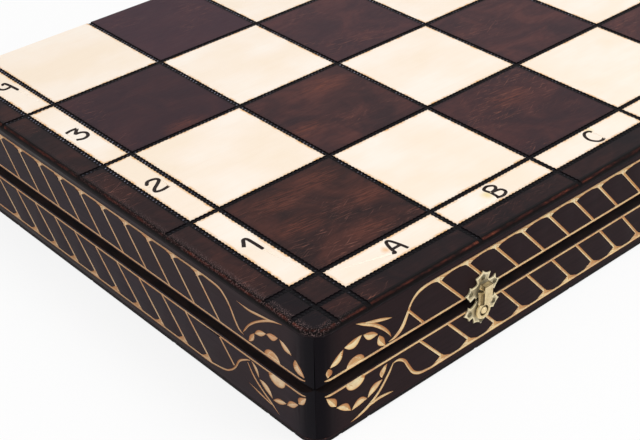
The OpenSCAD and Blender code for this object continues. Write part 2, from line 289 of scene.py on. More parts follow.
class Paint(Nodes):
    """Builds one material."""

    def __init__(self, name):
        self.material = bpy.data.materials.new(name)
        self.material.use_nodes = True
        super().__init__(self.material.node_tree)
        self.tree.nodes.clear()
        self.shader = self.add("BsdfPrincipled")
        self.output = self.add("OutputMaterial", {0: self.shader.outputs[0]})

    def place(self, stretch=(1, 1, 1), turn=0):
        """Object coordinates in millimetres, turned about Z by this many degrees, then stretched."""
        source = self.add("TexCoord").outputs["Object"]
        if turn:
            rotation = (0, 0, math.radians(turn))
            source = self.add("Mapping", {"Vector": source, "Rotation": rotation}).outputs[0]
        scale = tuple(1 / MM / s for s in stretch)
        return self.add("Mapping", {"Vector": source, "Scale": scale}).outputs[0]

    def distance(self, spot, stretch=(1, 1, 1)):
        values = {0: self.place(stretch), 1: spot}
        return self.add("VectorMath", values, operation="DISTANCE").outputs["Value"]

    def rim_gaps(self):
        """Distances in millimetres from the panel's nearer side and from its front."""
        x, y, _ = self.add("SeparateXYZ", {0: self.place()}).outputs
        return self.math("SUBTRACT", HALF_W, self.math("ABSOLUTE", x)), self.math("ADD", y, HALF_D)

    def depth(self):
        """Distance from the nearer board face, the same in both trays."""
        z = self.add("SeparateXYZ", {0: self.place()}).outputs[2]
        middle = self.math("SUBTRACT", z, CASE_H / 2)
        return self.math("SUBTRACT", CASE_H / 2, self.math("ABSOLUTE", middle))

    def value(self, name):
        """A number kept with the mesh."""
        return self.add("Attribute", attribute_name=name).outputs["Fac"]

    def noise(self, stretch=(1, 1, 1), detail=3.0, rough=0.5, distort=0.0, scale=1.0, turn=0):
        values = {"Vector": self.place(stretch, turn), "Scale": scale, "Detail": detail,
                  "Roughness": rough, "Distortion": distort}
        return self.add("TexNoise", values).outputs["Fac"]

    def ramp(self, factor, *stops):
        """Colour or grey by factor; stops are (place, value)."""
        node = self.add("ValToRGB", {"Fac": factor})
        elements = node.color_ramp.elements
        while len(elements) < len(stops):
            elements.new(0.5)
        for element, (spot, value) in zip(elements, stops):
            element.position = spot
            element.color = to_linear(value) if isinstance(value, str) else (value, value, value, 1)
        return node.outputs[0]

    def band(self, value, *stops):
        """Ramp over a value in millimetres; stops are (millimetres, value)."""
        reach = stops[-1][0]
        return self.ramp(self.math("DIVIDE", value, reach), *[(mm / reach, v) for mm, v in stops])

    def mix(self, factor, a, b):
        values = {"Factor": factor, "A": a, "B": b}
        return self.add("Mix", values, data_type="RGBA").outputs["Result"]

    def finish(self, colour, rough, gloss, bump=None, **more):
        """Sets the shader and gives the material; bump is height, strength and millimetres."""
        values = {"Base Color": colour, "Roughness": rough, "Specular IOR Level": gloss}
        if bump:
            height, strength, reach = bump
            node = self.add("Bump", {"Height": height, "Strength": strength, "Distance": reach * MM})
            values["Normal"] = node.outputs[0]
        for key, value in (values | more).items():
            self.put(self.shader.inputs[key.replace("_", " ")], value)
        return self.material


# stretch of a texture whose grain runs along an axis
GRAIN = {"X": (26, 1, 1), "Y": (1, 26, 1)}

# scorch marks beside letters on the lid: x, y, reach and colour
SCORCH_MARKS = [
    (-213.2, -113.8, 3.6, "eeb272"),
    (-155.6, -114.4, 4.6, "f0d998"),
    (-84.6, -109.8, 3.6, "f4dfa6"),
]


def birch():
    """Natural squares: cream, with faint clouds and fibres and a scorch beside the burned lines."""
    p = Paint("birch")
    fibre = p.noise(GRAIN["X"], 4, 0.6, 0.4, 0.9)
    base = p.ramp(p.noise((44, 30, 30)), (0.36, "fef3e6"), (0.5, "fdeedd"), (0.64, "fbead5"))
    base = p.mix(p.ramp(fibre, (0.3, 0.14), (0.55, 0.0)), base, "f4dfc8")
    patch = p.noise((4, 4, 4), 3, 0.6)
    halo = p.times(p.value("scorch"), p.ramp(patch, (0.4, 0.3), (0.64, 1.0)))
    base = p.mix(p.ramp(halo, (0.1, 0.0), (0.5, 0.45), (0.95, 1.0)), base, "e2a860")
    for x, y, reach, colour in SCORCH_MARKS:
        gap = p.math("ADD", p.distance((x, y, CASE_H)), p.times(patch, 2.0))
        base = p.mix(p.band(gap, (0, 0.85), (0.4 * reach, 0.7), (reach, 0.0)), base, colour)
    return p.finish(base, 0.45, 0.2, (fibre, 0.1, 0.2))


# inner edge of the line stamped along the panel's edges, and how far its specks reach from the
# front corners along the sides and along the front
RIM_LINE = 2.7
SPECK_REACH = {"side": 190, "front": 24}


def stamped_rim(p, base):
    """Adds the dark stamped line that runs along the panel's outer edges, with pale specks."""
    side, front = p.rim_gaps()
    gap = p.math("MINIMUM", side, front)
    nearer = p.band(p.math("SUBTRACT", side, p.math("SUBTRACT", front, 3)), (0, 0.0), (6, 1.0))
    line = p.band(gap, (0, 0.0), (EDGE_R - 0.4, 0.0), (EDGE_R, 0.9),
                  (RIM_LINE - 0.2, 0.9), (RIM_LINE + 0.2, 0.0))
    base = p.mix(p.times(line, p.ramp(nearer, (0.0, 0.5), (1.0, 1.0))), base, "0b080a")
    here = p.band(gap, (0.1, 0.0), (0.5, 0.8), (RIM_LINE, 1.0), (RIM_LINE + 0.8, 0.7), (RIM_LINE + 2, 0.0))
    along_side = p.band(front, (0, 1.0), (SPECK_REACH["side"], 0.0))
    along_front = p.band(side, (0, 1.0), (SPECK_REACH["front"], 0.0))
    grit = p.ramp(p.noise((0.5, 0.5, 0.5), 1), (0.54, 0.0), (0.66, 0.8))
    return p.mix(p.times(grit, here, p.mix(nearer, along_side, along_front)), base, "7d6664")


# places where the stain of the dark squares is rubbed down to red-brown: x, y and reach
RUBBED_MARKS = [
    (-222, -59, 9), (-198, -57, 8), (-226, -78, 8), (-190, -80, 8), (-206, -98, 7),
    (-174, -23, 8), (-140, 2, 9), (-88, -66, 9), (-210, 18, 7),
]


def stained_board():
    """Stained squares: brown clouds, soft grain, places rubbed red-brown and fine scratches, and a painted
    purple-grey sheen.
    """
    p = Paint("stained_board")
    cloud = p.noise((26, 20, 30), 4, 0.62, 0.6)
    grain = p.noise((20, 2.6, 2), 4, 0.6, 0.8)
    fine = p.noise((9, 0.8, 1), 3, 0.6, 0.2)
    base = p.ramp(cloud, (0.36, "2f2120"), (0.49, "422a27"), (0.64, "5b3730"))
    base = p.mix(p.ramp(grain, (0.36, 0.3), (0.6, 0.0)), base, "241617")
    # painted sheen: purple-grey, laid more on the squares away from the front corner
    base = p.mix(p.value("painted_sheen"), base, "49333d")
    base = p.mix(p.value("tone"), base, "110e13")
    streak = p.ramp(p.noise((7, 0.45, 2), 3, 0.6, 0.6, turn=8), (0.45, 0.1), (0.62, 1.0))
    for x, y, reach in RUBBED_MARKS:
        gap = p.distance((x / 2, y, CASE_H), (2, 1, 1))
        rubbed = p.band(gap, (0, 1.0), (0.35 * reach, 0.8), (reach, 0.0))
        base = p.mix(p.times(rubbed, streak, 0.62), base, "7a4638")
    worn = p.ramp(p.noise((50, 34, 40), 2), (0.5, 0.05), (0.66, 1.0))
    for turn, colour in ((14, "8a5c50"), (-24, "784f45"), (3, "825244")):
        thread = p.noise((8, 0.36, 2), 2, 0.5, 0.5, turn=turn)
        base = p.mix(p.times(p.ramp(thread, (0.65, 0.0), (0.73, 0.9)), worn), base, colour)
    base = stamped_rim(p, p.mix(p.times(p.value("scorch"), 0.4), base, "120e10"))
    return p.finish(base, p.ramp(fine, (0.3, 0.52), (0.7, 0.42)), 0.06, (fine, 0.12, 0.22))


def burned():
    """Charred lines: black, with a bluish glint painted on the middle of a bead."""
    p = Paint("burned")
    grit = p.noise(rough=0.6)
    base = p.ramp(grit, (0.35, "040305"), (0.65, "0c090d"))
    patch = p.ramp(p.noise((3.1, 3.1, 3), 2, 0.6), (0.36, 0.35), (0.58, 1.0))
    far = p.band(p.rim_gaps()[1], (0, 0.35), (70, 0.55), (150, 1.0))
    # painted glint: a pale bluish spot on each bead's crest, in patches, fainter towards the front
    glint_paint = p.times(p.value("crest"), patch, far, p.ramp(grit, (0.35, 0.5), (0.6, 1.0)))
    base = p.mix(p.ramp(glint_paint, (0.15, 0.0), (0.6, 0.9)), base, "9090a2")
    return p.finish(base, 0.5, 0.06, (grit, 0.3, 0.3))


def scorched_glyph():
    """Letters and numbers burned into the birch."""
    p = Paint("scorched_glyph")
    grit = p.noise(rough=0.6, scale=1.1)
    return p.finish(p.ramp(grit, (0.35, "100a09"), (0.75, "2a1914")), 0.6, 0.2)


def worn_edge():
    """Rounded edge of the panel: black stain, rubbed through to red-brown wood on the round."""
    p = Paint("worn_edge")
    rub = p.noise((11, 11, 1.5), 4, 0.65)
    fine = p.noise((2.4, 2.4, 0.5), 3, 0.6)
    grit = p.noise((0.5, 0.5, 0.5), 2, 0.6)
    worn = p.value("crest")
    base = p.ramp(fine, (0.35, "080607"), (0.7, "140d0d"))
    red = p.ramp(fine, (0.35, "321614"), (0.7, "55281e"))
    base = p.mix(p.times(worn, p.ramp(rub, (0.42, 0.12), (0.6, 1.0))), base, red)
    spot = p.times(worn, p.ramp(rub, (0.55, 0.0), (0.68, 0.8)), p.ramp(grit, (0.42, 0.1), (0.6, 1.0)))
    base = stamped_rim(p, p.mix(spot, base, "8a4a34"))
    lower = p.band(p.depth(), (0, 0.0), (EDGE_R + 0.3, 0.0), (EDGE_R + 0.8, 1.0))
    base = p.mix(lower, base, p.ramp(fine, (0.35, "1a1215"), (0.7, "272023")))
    return p.finish(base, 0.55, 0.05, (fine, 0.35, 0.3))


# dark and light of the grain, and gloss, of the rails that run along an axis; the side rails' colours are a
# little paler and greyer, a painted reflection
RAIL_LOOK = {"X": ("211719", "2c1e21", 0.035), "Y": ("231b20", "2f242a", 0.06)}


def stained_rail(along):
    """Dark rails: charcoal brown, close grain; the side rails turn grey under the panel, more so toward the
    back.
    """
    p = Paint("stained_rail_" + along.lower())
    dark, light, gloss = RAIL_LOOK[along]
    grain = p.noise(GRAIN[along], 4, 0.6, 0.3, 0.8)
    cloud = p.noise((60, 60, 20), 2)
    base = p.ramp(grain, (0.3, dark), (0.7, light))
    base = p.mix(p.ramp(cloud, (0.4, 0.0), (0.7, 0.6)), base, "2a1c1c")
    corner = p.math("MAXIMUM", *p.rim_gaps())
    # painted reflection: the rounded front corners go bluish black, as a dark reflection
    corner_dark_reflection = p.band(corner, (0, 0.9), (0.6 * CORNER_R, 0.85), (1.6 * CORNER_R, 0.0))
    base = p.mix(corner_dark_reflection, base, "0b0b10")
    depth = p.depth()
    if along == "Y":
        high = p.band(depth, (0, 1.0), (BOARD_T + 0.8, 1.0), (BOARD_T + 2.6, 0.0))
        far = p.band(corner, (0, 0.0), (60, 0.1), (190, 0.9))
        base = p.mix(p.times(high, p.ramp(cloud, (0.4, 0.35), (0.62, 0.9)), far), base, "4a4846")
    # painted shade: black just under the panel, where the rail meets it
    base = p.mix(p.band(depth, (0, 1.0), (BOARD_T, 1.0), (BOARD_T + 0.25, 0.0)), base, "0b0809")
    return p.finish(base, 0.5, gloss, (grain, 0.12, 0.2))


def seam_stain_and_shade():
    """Bevels of the seam: the rails' dark stain, painted almost black as shade in the seam's groove."""
    p = Paint("seam_stain_and_shade")
    grain = p.noise((9, 9, 1.4), 3, 0.6)
    return p.finish(p.ramp(grain, (0.35, "0a0607"), (0.7, "1c1210")), 0.6, 0.04, (grain, 0.2, 0.2))


# colours from the rim of a cut to its floor: on walls that face up, painted as lit, and on the others,
# painted as shaded; the side rails' set is painted darker, as shade on those faces
CARVED_STOPS = (0.0, 0.1, 0.3, 0.85)
CARVED_LOOK = {
    "X": (("9a6238", "dfb47c", "ebcc98", "f3e0b4"), ("6a3a20", "ad6e42", "c58a56", "d8ab74")),
    "Y": (("7a4a2c", "ba8c64", "d0ab82", "dec3a0"), ("54301e", "96603c", "b07c52", "c4986e")),
}


def carved_wood(along):
    """Bare wood in the cuts, burnt at the rim: cream painted on the walls that face up as lit, tan on the
    others as shaded.
    """
    p = Paint("carved_wood_" + along.lower())
    speck = p.noise(rough=0.6, scale=0.7)
    depth = p.math("ADD", p.value("cut_depth"), p.times(p.math("SUBTRACT", speck, 0.5), 0.22))
    pale, tan = (p.ramp(depth, *zip(CARVED_STOPS, codes)) for codes in CARVED_LOOK[along])
    warm = p.ramp(p.noise((9, 9, 9), 3, 0.6), (0.48, 0.0), (0.7, 0.6))
    # painted light and shade: the shaded walls take the tan ramp, the others the cream one
    base = p.mix(warm, p.mix(p.value("shaded"), pale, tan), "c4875c")
    return p.finish(base, 0.6, 0.15, (speck, 0.25, 0.25))


def brass(name, low, high, dirt_and_shade, rough):
    """Plated brass, dark in its hollows from dirt and painted shade, and rubbed pale on its raised places."""
    p = Paint(name)
    tone = p.noise(detail=4, rough=0.6, scale=0.35)
    grime = p.ramp(p.noise(rough=0.6, scale=0.8), (0.5, 0.0), (0.75, 0.4))
    base = p.mix(grime, p.ramp(tone, (0.3, low), (0.7, high)), dirt_and_shade)
    # dirt and painted shade: the hollow number darkens the brass where shade falls
    base = p.mix(p.ramp(p.value("hollow"), (0.1, 0.0), (0.9, 0.95)), base, dirt_and_shade)
    rubbed = p.ramp(tone, (0.3, rough + 0.12), (0.7, rough))
    return p.finish(base, rubbed, 0.5, (tone, 0.15, 0.2), Metallic=0.5)


def felt_cloth():
    """Green felt with a short nap."""
    p = Paint("felt_cloth")
    nap = p.noise(detail=5, rough=0.75, scale=1.6)
    base = p.ramp(nap, (0.3, "16402a"), (0.7, "27603f"))
    base = p.mix(p.ramp(p.noise((40, 40, 40)), (0.4, 0.0), (0.7, 0.4)), base, "1c4a31")
    return p.finish(base, 0.95, 0.1, (nap, 0.5, 0.5), Sheen_Weight=0.4)


BIRCH = birch()
STAINED = stained_board()
BURNED = burned()
GLYPH = scorched_glyph()
EDGE = worn_edge()
RAIL_X = stained_rail("X")
RAIL_Y = stained_rail("Y")
SEAM = seam_stain_and_shade()
CARVED_X = carved_wood("X")
CARVED_Y = carved_wood("Y")
PLATE = brass("latch_plate", "efddaf", "fff2ce", "4a3e24", 0.38)
LEVER_BRASS = brass("latch_lever", "ead09a", "ffe9b8", "413314", 0.34)
NAIL = brass("latch_nail", "39321f", "857c5c", "1e190e", 0.4)
HINGE = brass("hinge_brass", "b08c46", "d9bc72", "7a6030", 0.3)
STEEL = brass("hinge_steel", "8f8c84", "c4c1b8", "5a564e", 0.3)
FELT = felt_cloth()

# ---- carving: e runs from the end of the face, t from the board's face to the rim ----

CUT = 0.6
PETAL_STEPS = 4
VINE_STEPS = 5
# the outer line and the band along the seam, and where each starts
OUTER_T = 6.05
OUTER_START = 62.5
BAND_T = {"lid": 24.0, "base": 23.5}
BAND_START = 5.6
LINE_HALF = 0.55
BAND_HALF = 0.55
RUNG_HALF = 0.6
RUNG_TOP = 8.6
# half width of a rung's head where it spreads into the outer line
HEAD = [(9.1, 0.6), (8.5, 0.95), (8.05, 1.5), (7.6, 2.4), (7.2, 3.6), (6.85, 5.0), (6.4, 6.4)]


def petal(a, middle, b, half):
    """Lens with its tips at a and b and its widest place at the middle."""
    a, m, b = (np.array(v, float) for v in (a, middle, b))
    bow = 0.06 * (2 * m - a - b)
    quarters = [(*(0.55 * m + 0.45 * end + bow), 0.74 * half) for end in (a, b)]
    return Stroke([(*a, 0.1), quarters[0], (*m, half), quarters[1], (*b, 0.1)], CUT, PETAL_STEPS)


END_CUTS = {
    ("front", "lid"): {
        "petals": [
            ((7.3, 18.9), (7.6, 20.9), (7.0, 23.0), 1.5),
            ((8.0, 18.6), (11.8, 16.9), (14.7, 13.5), 1.75),
            ((15.2, 13.1), (19.8, 13.7), (24.0, 11.8), 2.1),
            ((24.9, 12.3), (28.4, 14.6), (32.3, 15.9), 1.75),
            ((33.0, 17.0), (33.9, 20.2), (36.3, 23.4), 1.8),
        ],
        "hub": (20.8, 4.7, 4.1),
        "vines": [
            [(38.0, 22.8, 0.1), (41.7, 22.1, 0.75), (45.3, 19.4, 1.05), (48.0, 14.5, 0.75),
             (49.9, 10.4, 0.55), (53.0, 7.6, 0.75), (56.8, 6.4, 0.75), (63.0, OUTER_T, LINE_HALF)],
            [(21.1, 5.1, 0.08), (25.5, 7.5, 0.75), (30.5, 10.6, 0.8), (34.9, 14.5, 0.75),
             (38.0, 18.3, 0.5), (39.4, 21.0, 0.08)],
            [(26.8, 7.6, 0.5), (33.0, 9.7, 0.75), (36.8, 11.0, 0.5), (39.8, 12.0, 0.06)],
        ],
        "short": [((48.6, 13.6), (57.1, 23.9))],
        "rungs": (65.9, 16.2, 13.8),
    },
    ("front", "base"): {
        "petals": [
            ((6.2, 22.4), (9.2, 19.0), (10.8, 16.2), 1.7),
            ((10.9, 15.5), (15.2, 13.4), (18.2, 9.9), 1.6),
            ((18.7, 9.6), (22.8, 11.6), (26.7, 10.8), 1.8),
            ((27.1, 10.9), (30.4, 13.9), (34.8, 15.5), 1.8),
            ((34.6, 16.5), (34.9, 19.2), (37.4, 22.0), 1.5),
        ],
        "hub": (20.8, 5.0, 4.4),
        "vines": [
            [(40.4, 20.4, 0.2), (43.6, 20.3, 0.6), (46.8, 18.0, 0.7), (49.3, 13.6, 0.75),
             (51.8, 9.6, 0.75), (55.5, 7.1, 0.7), (60.5, 6.25, LINE_HALF), (63.0, OUTER_T, LINE_HALF)],
            [(40.5, 20.3, 0.3), (38.0, 16.2, 0.6), (33.0, 10.3, 0.65), (27.4, 6.5, 0.8),
             (22.4, 4.7, 0.55), (18.2, 3.9, 0.06)],
            [(28.0, 6.5, 0.5), (33.0, 7.2, 0.7), (38.0, 6.7, 0.5), (40.8, 6.1, 0.06)],
        ],
        "short": [],
        "rungs": (68.0, 15.8, -13.0),
    },
    ("side", "lid"): {
        "petals": [
            ((37.4, 23.2), (35.4, 20.4), (33.9, 17.6), 1.2),
            ((33.6, 17.3), (30.3, 15.3), (26.7, 13.6), 1.35),
            ((26.4, 13.6), (23.3, 13.2), (19.9, 11.7), 1.5),
            ((18.9, 11.7), (15.7, 13.9), (12.3, 15.4), 1.4),
            ((10.4, 16.4), (9.4, 19.6), (5.9, 22.6), 2.0),
        ],
        "hub": (23.6, 4.6, 4.1),
        "vines": [
            [(40.1, 21.7, 0.12), (42.9, 20.7, 0.6), (45.4, 17.3, 0.65), (47.9, 12.6, 0.6),
             (51.1, 8.9, 0.7), (54.8, 6.8, 0.7), (63.0, OUTER_T, 0.6)],
            [(17.2, 3.9, 0.08), (24.2, 6.1, 0.65), (31.7, 10.7, 0.6), (36.7, 15.1, 0.55),
             (39.5, 18.9, 0.45), (40.8, 20.8, 0.1)],
            [(24.2, 5.8, 0.4), (30.4, 6.9, 0.7), (36.7, 7.8, 0.6), (43.6, 7.3, 0.06)],
        ],
        "short": [],
        "rungs": (68.2, 16.1, -13.2),
    },
    ("side", "base"): {
        "petals": [
            ((36.4, 22.6), (33.9, 20.1), (32.3, 16.7), 0.9),
            ((32.0, 16.1), (28.0, 14.4), (24.5, 11.1), 1.6),
            ((24.2, 10.5), (20.4, 12.2), (16.4, 13.6), 1.3),
            ((16.0, 13.3), (13.1, 15.4), (9.5, 17.4), 1.5),
            ((9.2, 18.0), (7.8, 20.2), (5.5, 22.6), 1.6),
        ],
        "hub": (21.4, 5.0, 4.4),
        "vines": [
            [(37.3, 22.4, 0.2), (40.4, 20.8, 0.5), (44.2, 18.0, 0.6), (46.7, 13.6, 0.55),
             (49.8, 10.2, 0.5), (54.2, 7.7, 0.5), (63.0, OUTER_T, 0.55)],
            [(38.9, 20.5, 0.3), (35.4, 15.5, 0.6), (30.4, 11.4, 0.6), (25.4, 8.3, 0.6),
             (20.8, 5.2, 0.08)],
            [(38.9, 10.4, 0.06), (32.3, 8.9, 0.55), (25.4, 7.6, 0.4)],
        ],
        "short": [((47.6, 13.6), (56.0, 23.0))],
        "rungs": (65.4, 15.9, 12.8),
    },
}


def end_cuts(design, band, fine, at):
    """One end's ornament; at turns a distance from that end into a place on the face."""
    cuts = [petal(*((at(e), t) for e, t in spots), wide) for *spots, wide in design["petals"]]
    x, radius, height = design["hub"]
    cuts.append(HalfDisc(at(x), band, radius, height, CUT))
    for rows in design["vines"]:
        cuts.append(Stroke([(at(e), t, wide * fine) for e, t, wide in rows], CUT, VINE_STEPS))
    for rows in design["short"]:
        cuts.append(Stroke([(at(e), t, RUNG_HALF * fine) for e, t in rows], CUT))
    return cuts


# share of the front's line widths, of its rungs' spread heads, and of the near end's length at
# the far end
FINE = {"front": 1.0, "side": 0.8}
SPREAD = {"front": 1.0, "side": 0.6}
SQUEEZE = {"front": 1.0, "side": 0.72}


def face_cuts(where, half, length):
    """Every cut of one rail face, with e from 0 to its length."""
    kind = "front" if where == "front" else "side"
    design, fine, spread, squeeze = END_CUTS[(kind, half)], FINE[kind], SPREAD[kind], SQUEEZE[kind]
    band = BAND_T[half]
    cuts = end_cuts(design, band, fine, lambda e: e)
    cuts += end_cuts(design, band, fine, lambda e: length - e * squeeze)
    ends = ((BAND_START, 0.25), (BAND_START + 2, BAND_HALF * fine))
    rows = [(e, band, wide) for e, wide in ends] + [(length - e, band, wide) for e, wide in ends[::-1]]
    cuts.append(Stroke(rows, CUT))
    end = length - OUTER_START * squeeze
    cuts.append(Stroke([(e, OUTER_T, LINE_HALF * fine) for e in (OUTER_START, end)], CUT))
    head, pitch, run = design["rungs"]
    while head < end - 2:
        foot = head + run
        if foot < end + 4:
            cuts.append(Stroke([(head, RUNG_TOP, RUNG_HALF * fine), (foot, band, RUNG_HALF * fine)], CUT))
            rows = [(head, t, RUNG_HALF * fine + (wide - RUNG_HALF) * spread) for t, wide in HEAD]
            cuts.append(Stroke(rows, CUT))
        head += pitch
    return cuts


# ---- rails ----


class Face:
    """The outer face of a rail laid out flat; s runs along it and goes round the front corners."""

    BENDS = 8
    FLAT_SPOTS = 9

    def __init__(self, where):
        self.front = where == "front"
        self.side = -1 if where == "left" else 1
        self.half = HALF_W if self.front else HALF_D
        self.flat = self.half - CORNER_R
        mitre = self.flat + CORNER_R * math.pi / 4
        self.low = -mitre + MITRE_GAP
        self.high = (mitre if self.front else self.half) - MITRE_GAP

    def at(self, along, away):
        """The point at this place along the face and this far behind its plane."""
        if self.front:
            return along, -HALF_D + away
        return self.side * (HALF_W - away), along

    def away(self, x, y):
        """Distance of a point from the plane of the face."""
        return y + HALF_D if self.front else HALF_W - abs(x)

    def place(self, s):
        """Point and inward direction on the outer face at s."""
        sign = -1 if s < 0 else 1
        rounded = abs(s) > self.flat and (self.front or s < 0)
        turn = (abs(s) - self.flat) / CORNER_R if rounded else 0
        along = sign * (self.flat + CORNER_R * math.sin(turn)) if rounded else s
        point = self.at(along, CORNER_R * (1 - math.cos(turn)))
        across, inward = -sign * math.sin(turn), math.cos(turn)
        return point, (across, inward) if self.front else (-self.side * inward, across)

    def inner_point(self, s):
        share = (s - self.low) / (self.high - self.low)
        return self.at((2 * share - 1) * (self.half - RAIL_T), RAIL_T)

    def columns(self):
        """Places where the mesh needs an upright edge."""
        bends = [self.flat + (-self.low - self.flat) * k / self.BENDS for k in range(self.BENDS)]
        spots = [self.low, self.high] + [-b for b in bends] + (bends if self.front else [])
        spots += list(np.linspace(-self.flat, self.flat, self.FLAT_SPOTS)[1:-1])
        return sorted(set(round(s, 5) for s in spots))


def shaded_walls(flat, depth, tris, up):
    """1 for each triangle whose wall faces down or sideways away from the light, else 0."""
    solid = np.column_stack([flat[:, 0], up * flat[:, 1], depth])
    a, b, c = (solid[[t[k] for t in tris]] for k in range(3))
    normal = np.cross(b - a, c - a)
    normal *= np.sign(normal[:, 2:])
    slope = -normal[:, 1] - 0.35 * normal[:, 0]
    return list((slope < 0).astype(float))


def rail_piece(where, half):
    face = Face(where)
    spots = face.columns()
    low, high = spots[0], spots[-1]

    def up(t):
        return t if half == "base" else CASE_H - t

    def brow_at(s):
        """Where the face meets the seam's bevel; the mitre has opened a little there."""
        crack = MITRE_CRACK[half] * (float(s == low) - float(s == high))
        return s + crack, RIM - max(0.0, BEVEL - face.away(*face.place(s)[0]))

    outline = [(s, BOARD_T) for s in spots] + [brow_at(s) for s in reversed(spots)]
    lines = [[(s, BOARD_T), brow_at(s)] for s in spots[1:-1] if abs(s) > face.flat - 0.01]
    lines.append([(low + 0.01, BOARD_T + CHAMFER), (high - 0.01, BOARD_T + CHAMFER)])
    cuts = face_cuts(where, half, 2 * face.half)
    for cut in cuts:
        cut.at = cut.at - np.array([face.half, 0])
    flat, tris, is_cut, depth = cut_patch(outline, cuts, lines)
    sunk = np.maximum(depth, CHAMFER - np.minimum(flat[:, 1] - BOARD_T, CHAMFER))
    verts, index = [], {}
    for i, (s, t) in enumerate(flat):
        (x, y), (nx, ny) = face.place(s)
        verts.append((x + nx * sunk[i], y + ny * sunk[i], up(t)))
        index[(round(s, 3), round(t, 3))] = i

    def vertex(s, t):
        return index[(round(s, 3), round(t, 3))]

    def extra(point, t):
        verts.append((*point, up(t)))
        return len(verts) - 1

    foot = [vertex(s, BOARD_T) for s in spots]
    brow = [vertex(*brow_at(s)) for s in spots]
    lip, inner_low, inner_rim = [], [], []
    for s, b in zip(spots, brow):
        x, y, _ = verts[b]
        lip.append(extra(face.at(x if face.front else y, max(face.away(x, y), BEVEL)), RIM))
        inner_low.append(extra(face.inner_point(s), BOARD_T))
        inner_rim.append(extra(face.inner_point(s), RIM))
    faces = list(tris)
    picks = [int(c) for c in is_cut]
    strips = [(foot, inner_low, 0), (inner_low, inner_rim, 0), (inner_rim, lip, 0), (lip, brow, 2)]
    for a, b, pick in strips:
        faces += [[a[i], a[i + 1], b[i + 1], b[i]] for i in range(len(spots) - 1)]
        picks += [pick] * (len(spots) - 1)
    for i in (0, -1):
        faces.append([foot[i], brow[i], lip[i], inner_rim[i], inner_low[i]])
        picks.append(0)
    shades = list(depth / CUT) + [0.0] * (len(verts) - len(depth))
    shaded = shaded_walls(flat, depth, tris, -1 if half == "lid" else 1)
    shaded += [0.0] * (len(faces) - len(shaded))
    materials = [RAIL_X, CARVED_X, SEAM] if face.front else [RAIL_Y, CARVED_Y, SEAM]
    node = f"{half}_{where}_rail"
    piece = make_piece(f"carved_{node}", verts, faces, materials, picks, {"cut_depth": shades},
                       {"shaded": shaded})
    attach(piece, half)
    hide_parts(node)


# ---- boards ----

BEAD = 2.0
BEAD_STEPS = 4
SCALLOP = 0.38
WALL_IN = 0.14
RIDGE = 0.34
SCORCH_W = 1.8
# least way of the scorched band's inner edge from a cell's sides, and its cut across a corner
HALO_INSET = 0.3
HALO_CORNER = 4
CORNER_SPOTS = 13
OUT_OF_REACH = 1000
GLYPH_H = 10.2
# size of a letter beside a number's
LETTER_SHARE = 0.9
GLYPH_HALF = 0.85
GLYPH_DEPTH = 0.4
# across the panel's rounded edge: angle in degrees and how far it is rubbed
EDGE_ROUND = [(0, 0.0), (14, 0.0), (26, 0.45), (37, 1.0), (48, 0.85), (59, 0.1), (75, 0.0), (90, 0.0)]
LINES_X = [-4 * SQUARE - LABEL] + [k * SQUARE for k in range(-4, 5)] + [4 * SQUARE + LABEL]
LINES_Y = [HALF_D - 4 * SQUARE - LABEL] + [HALF_D - k * SQUARE for k in range(4, 0, -1)]

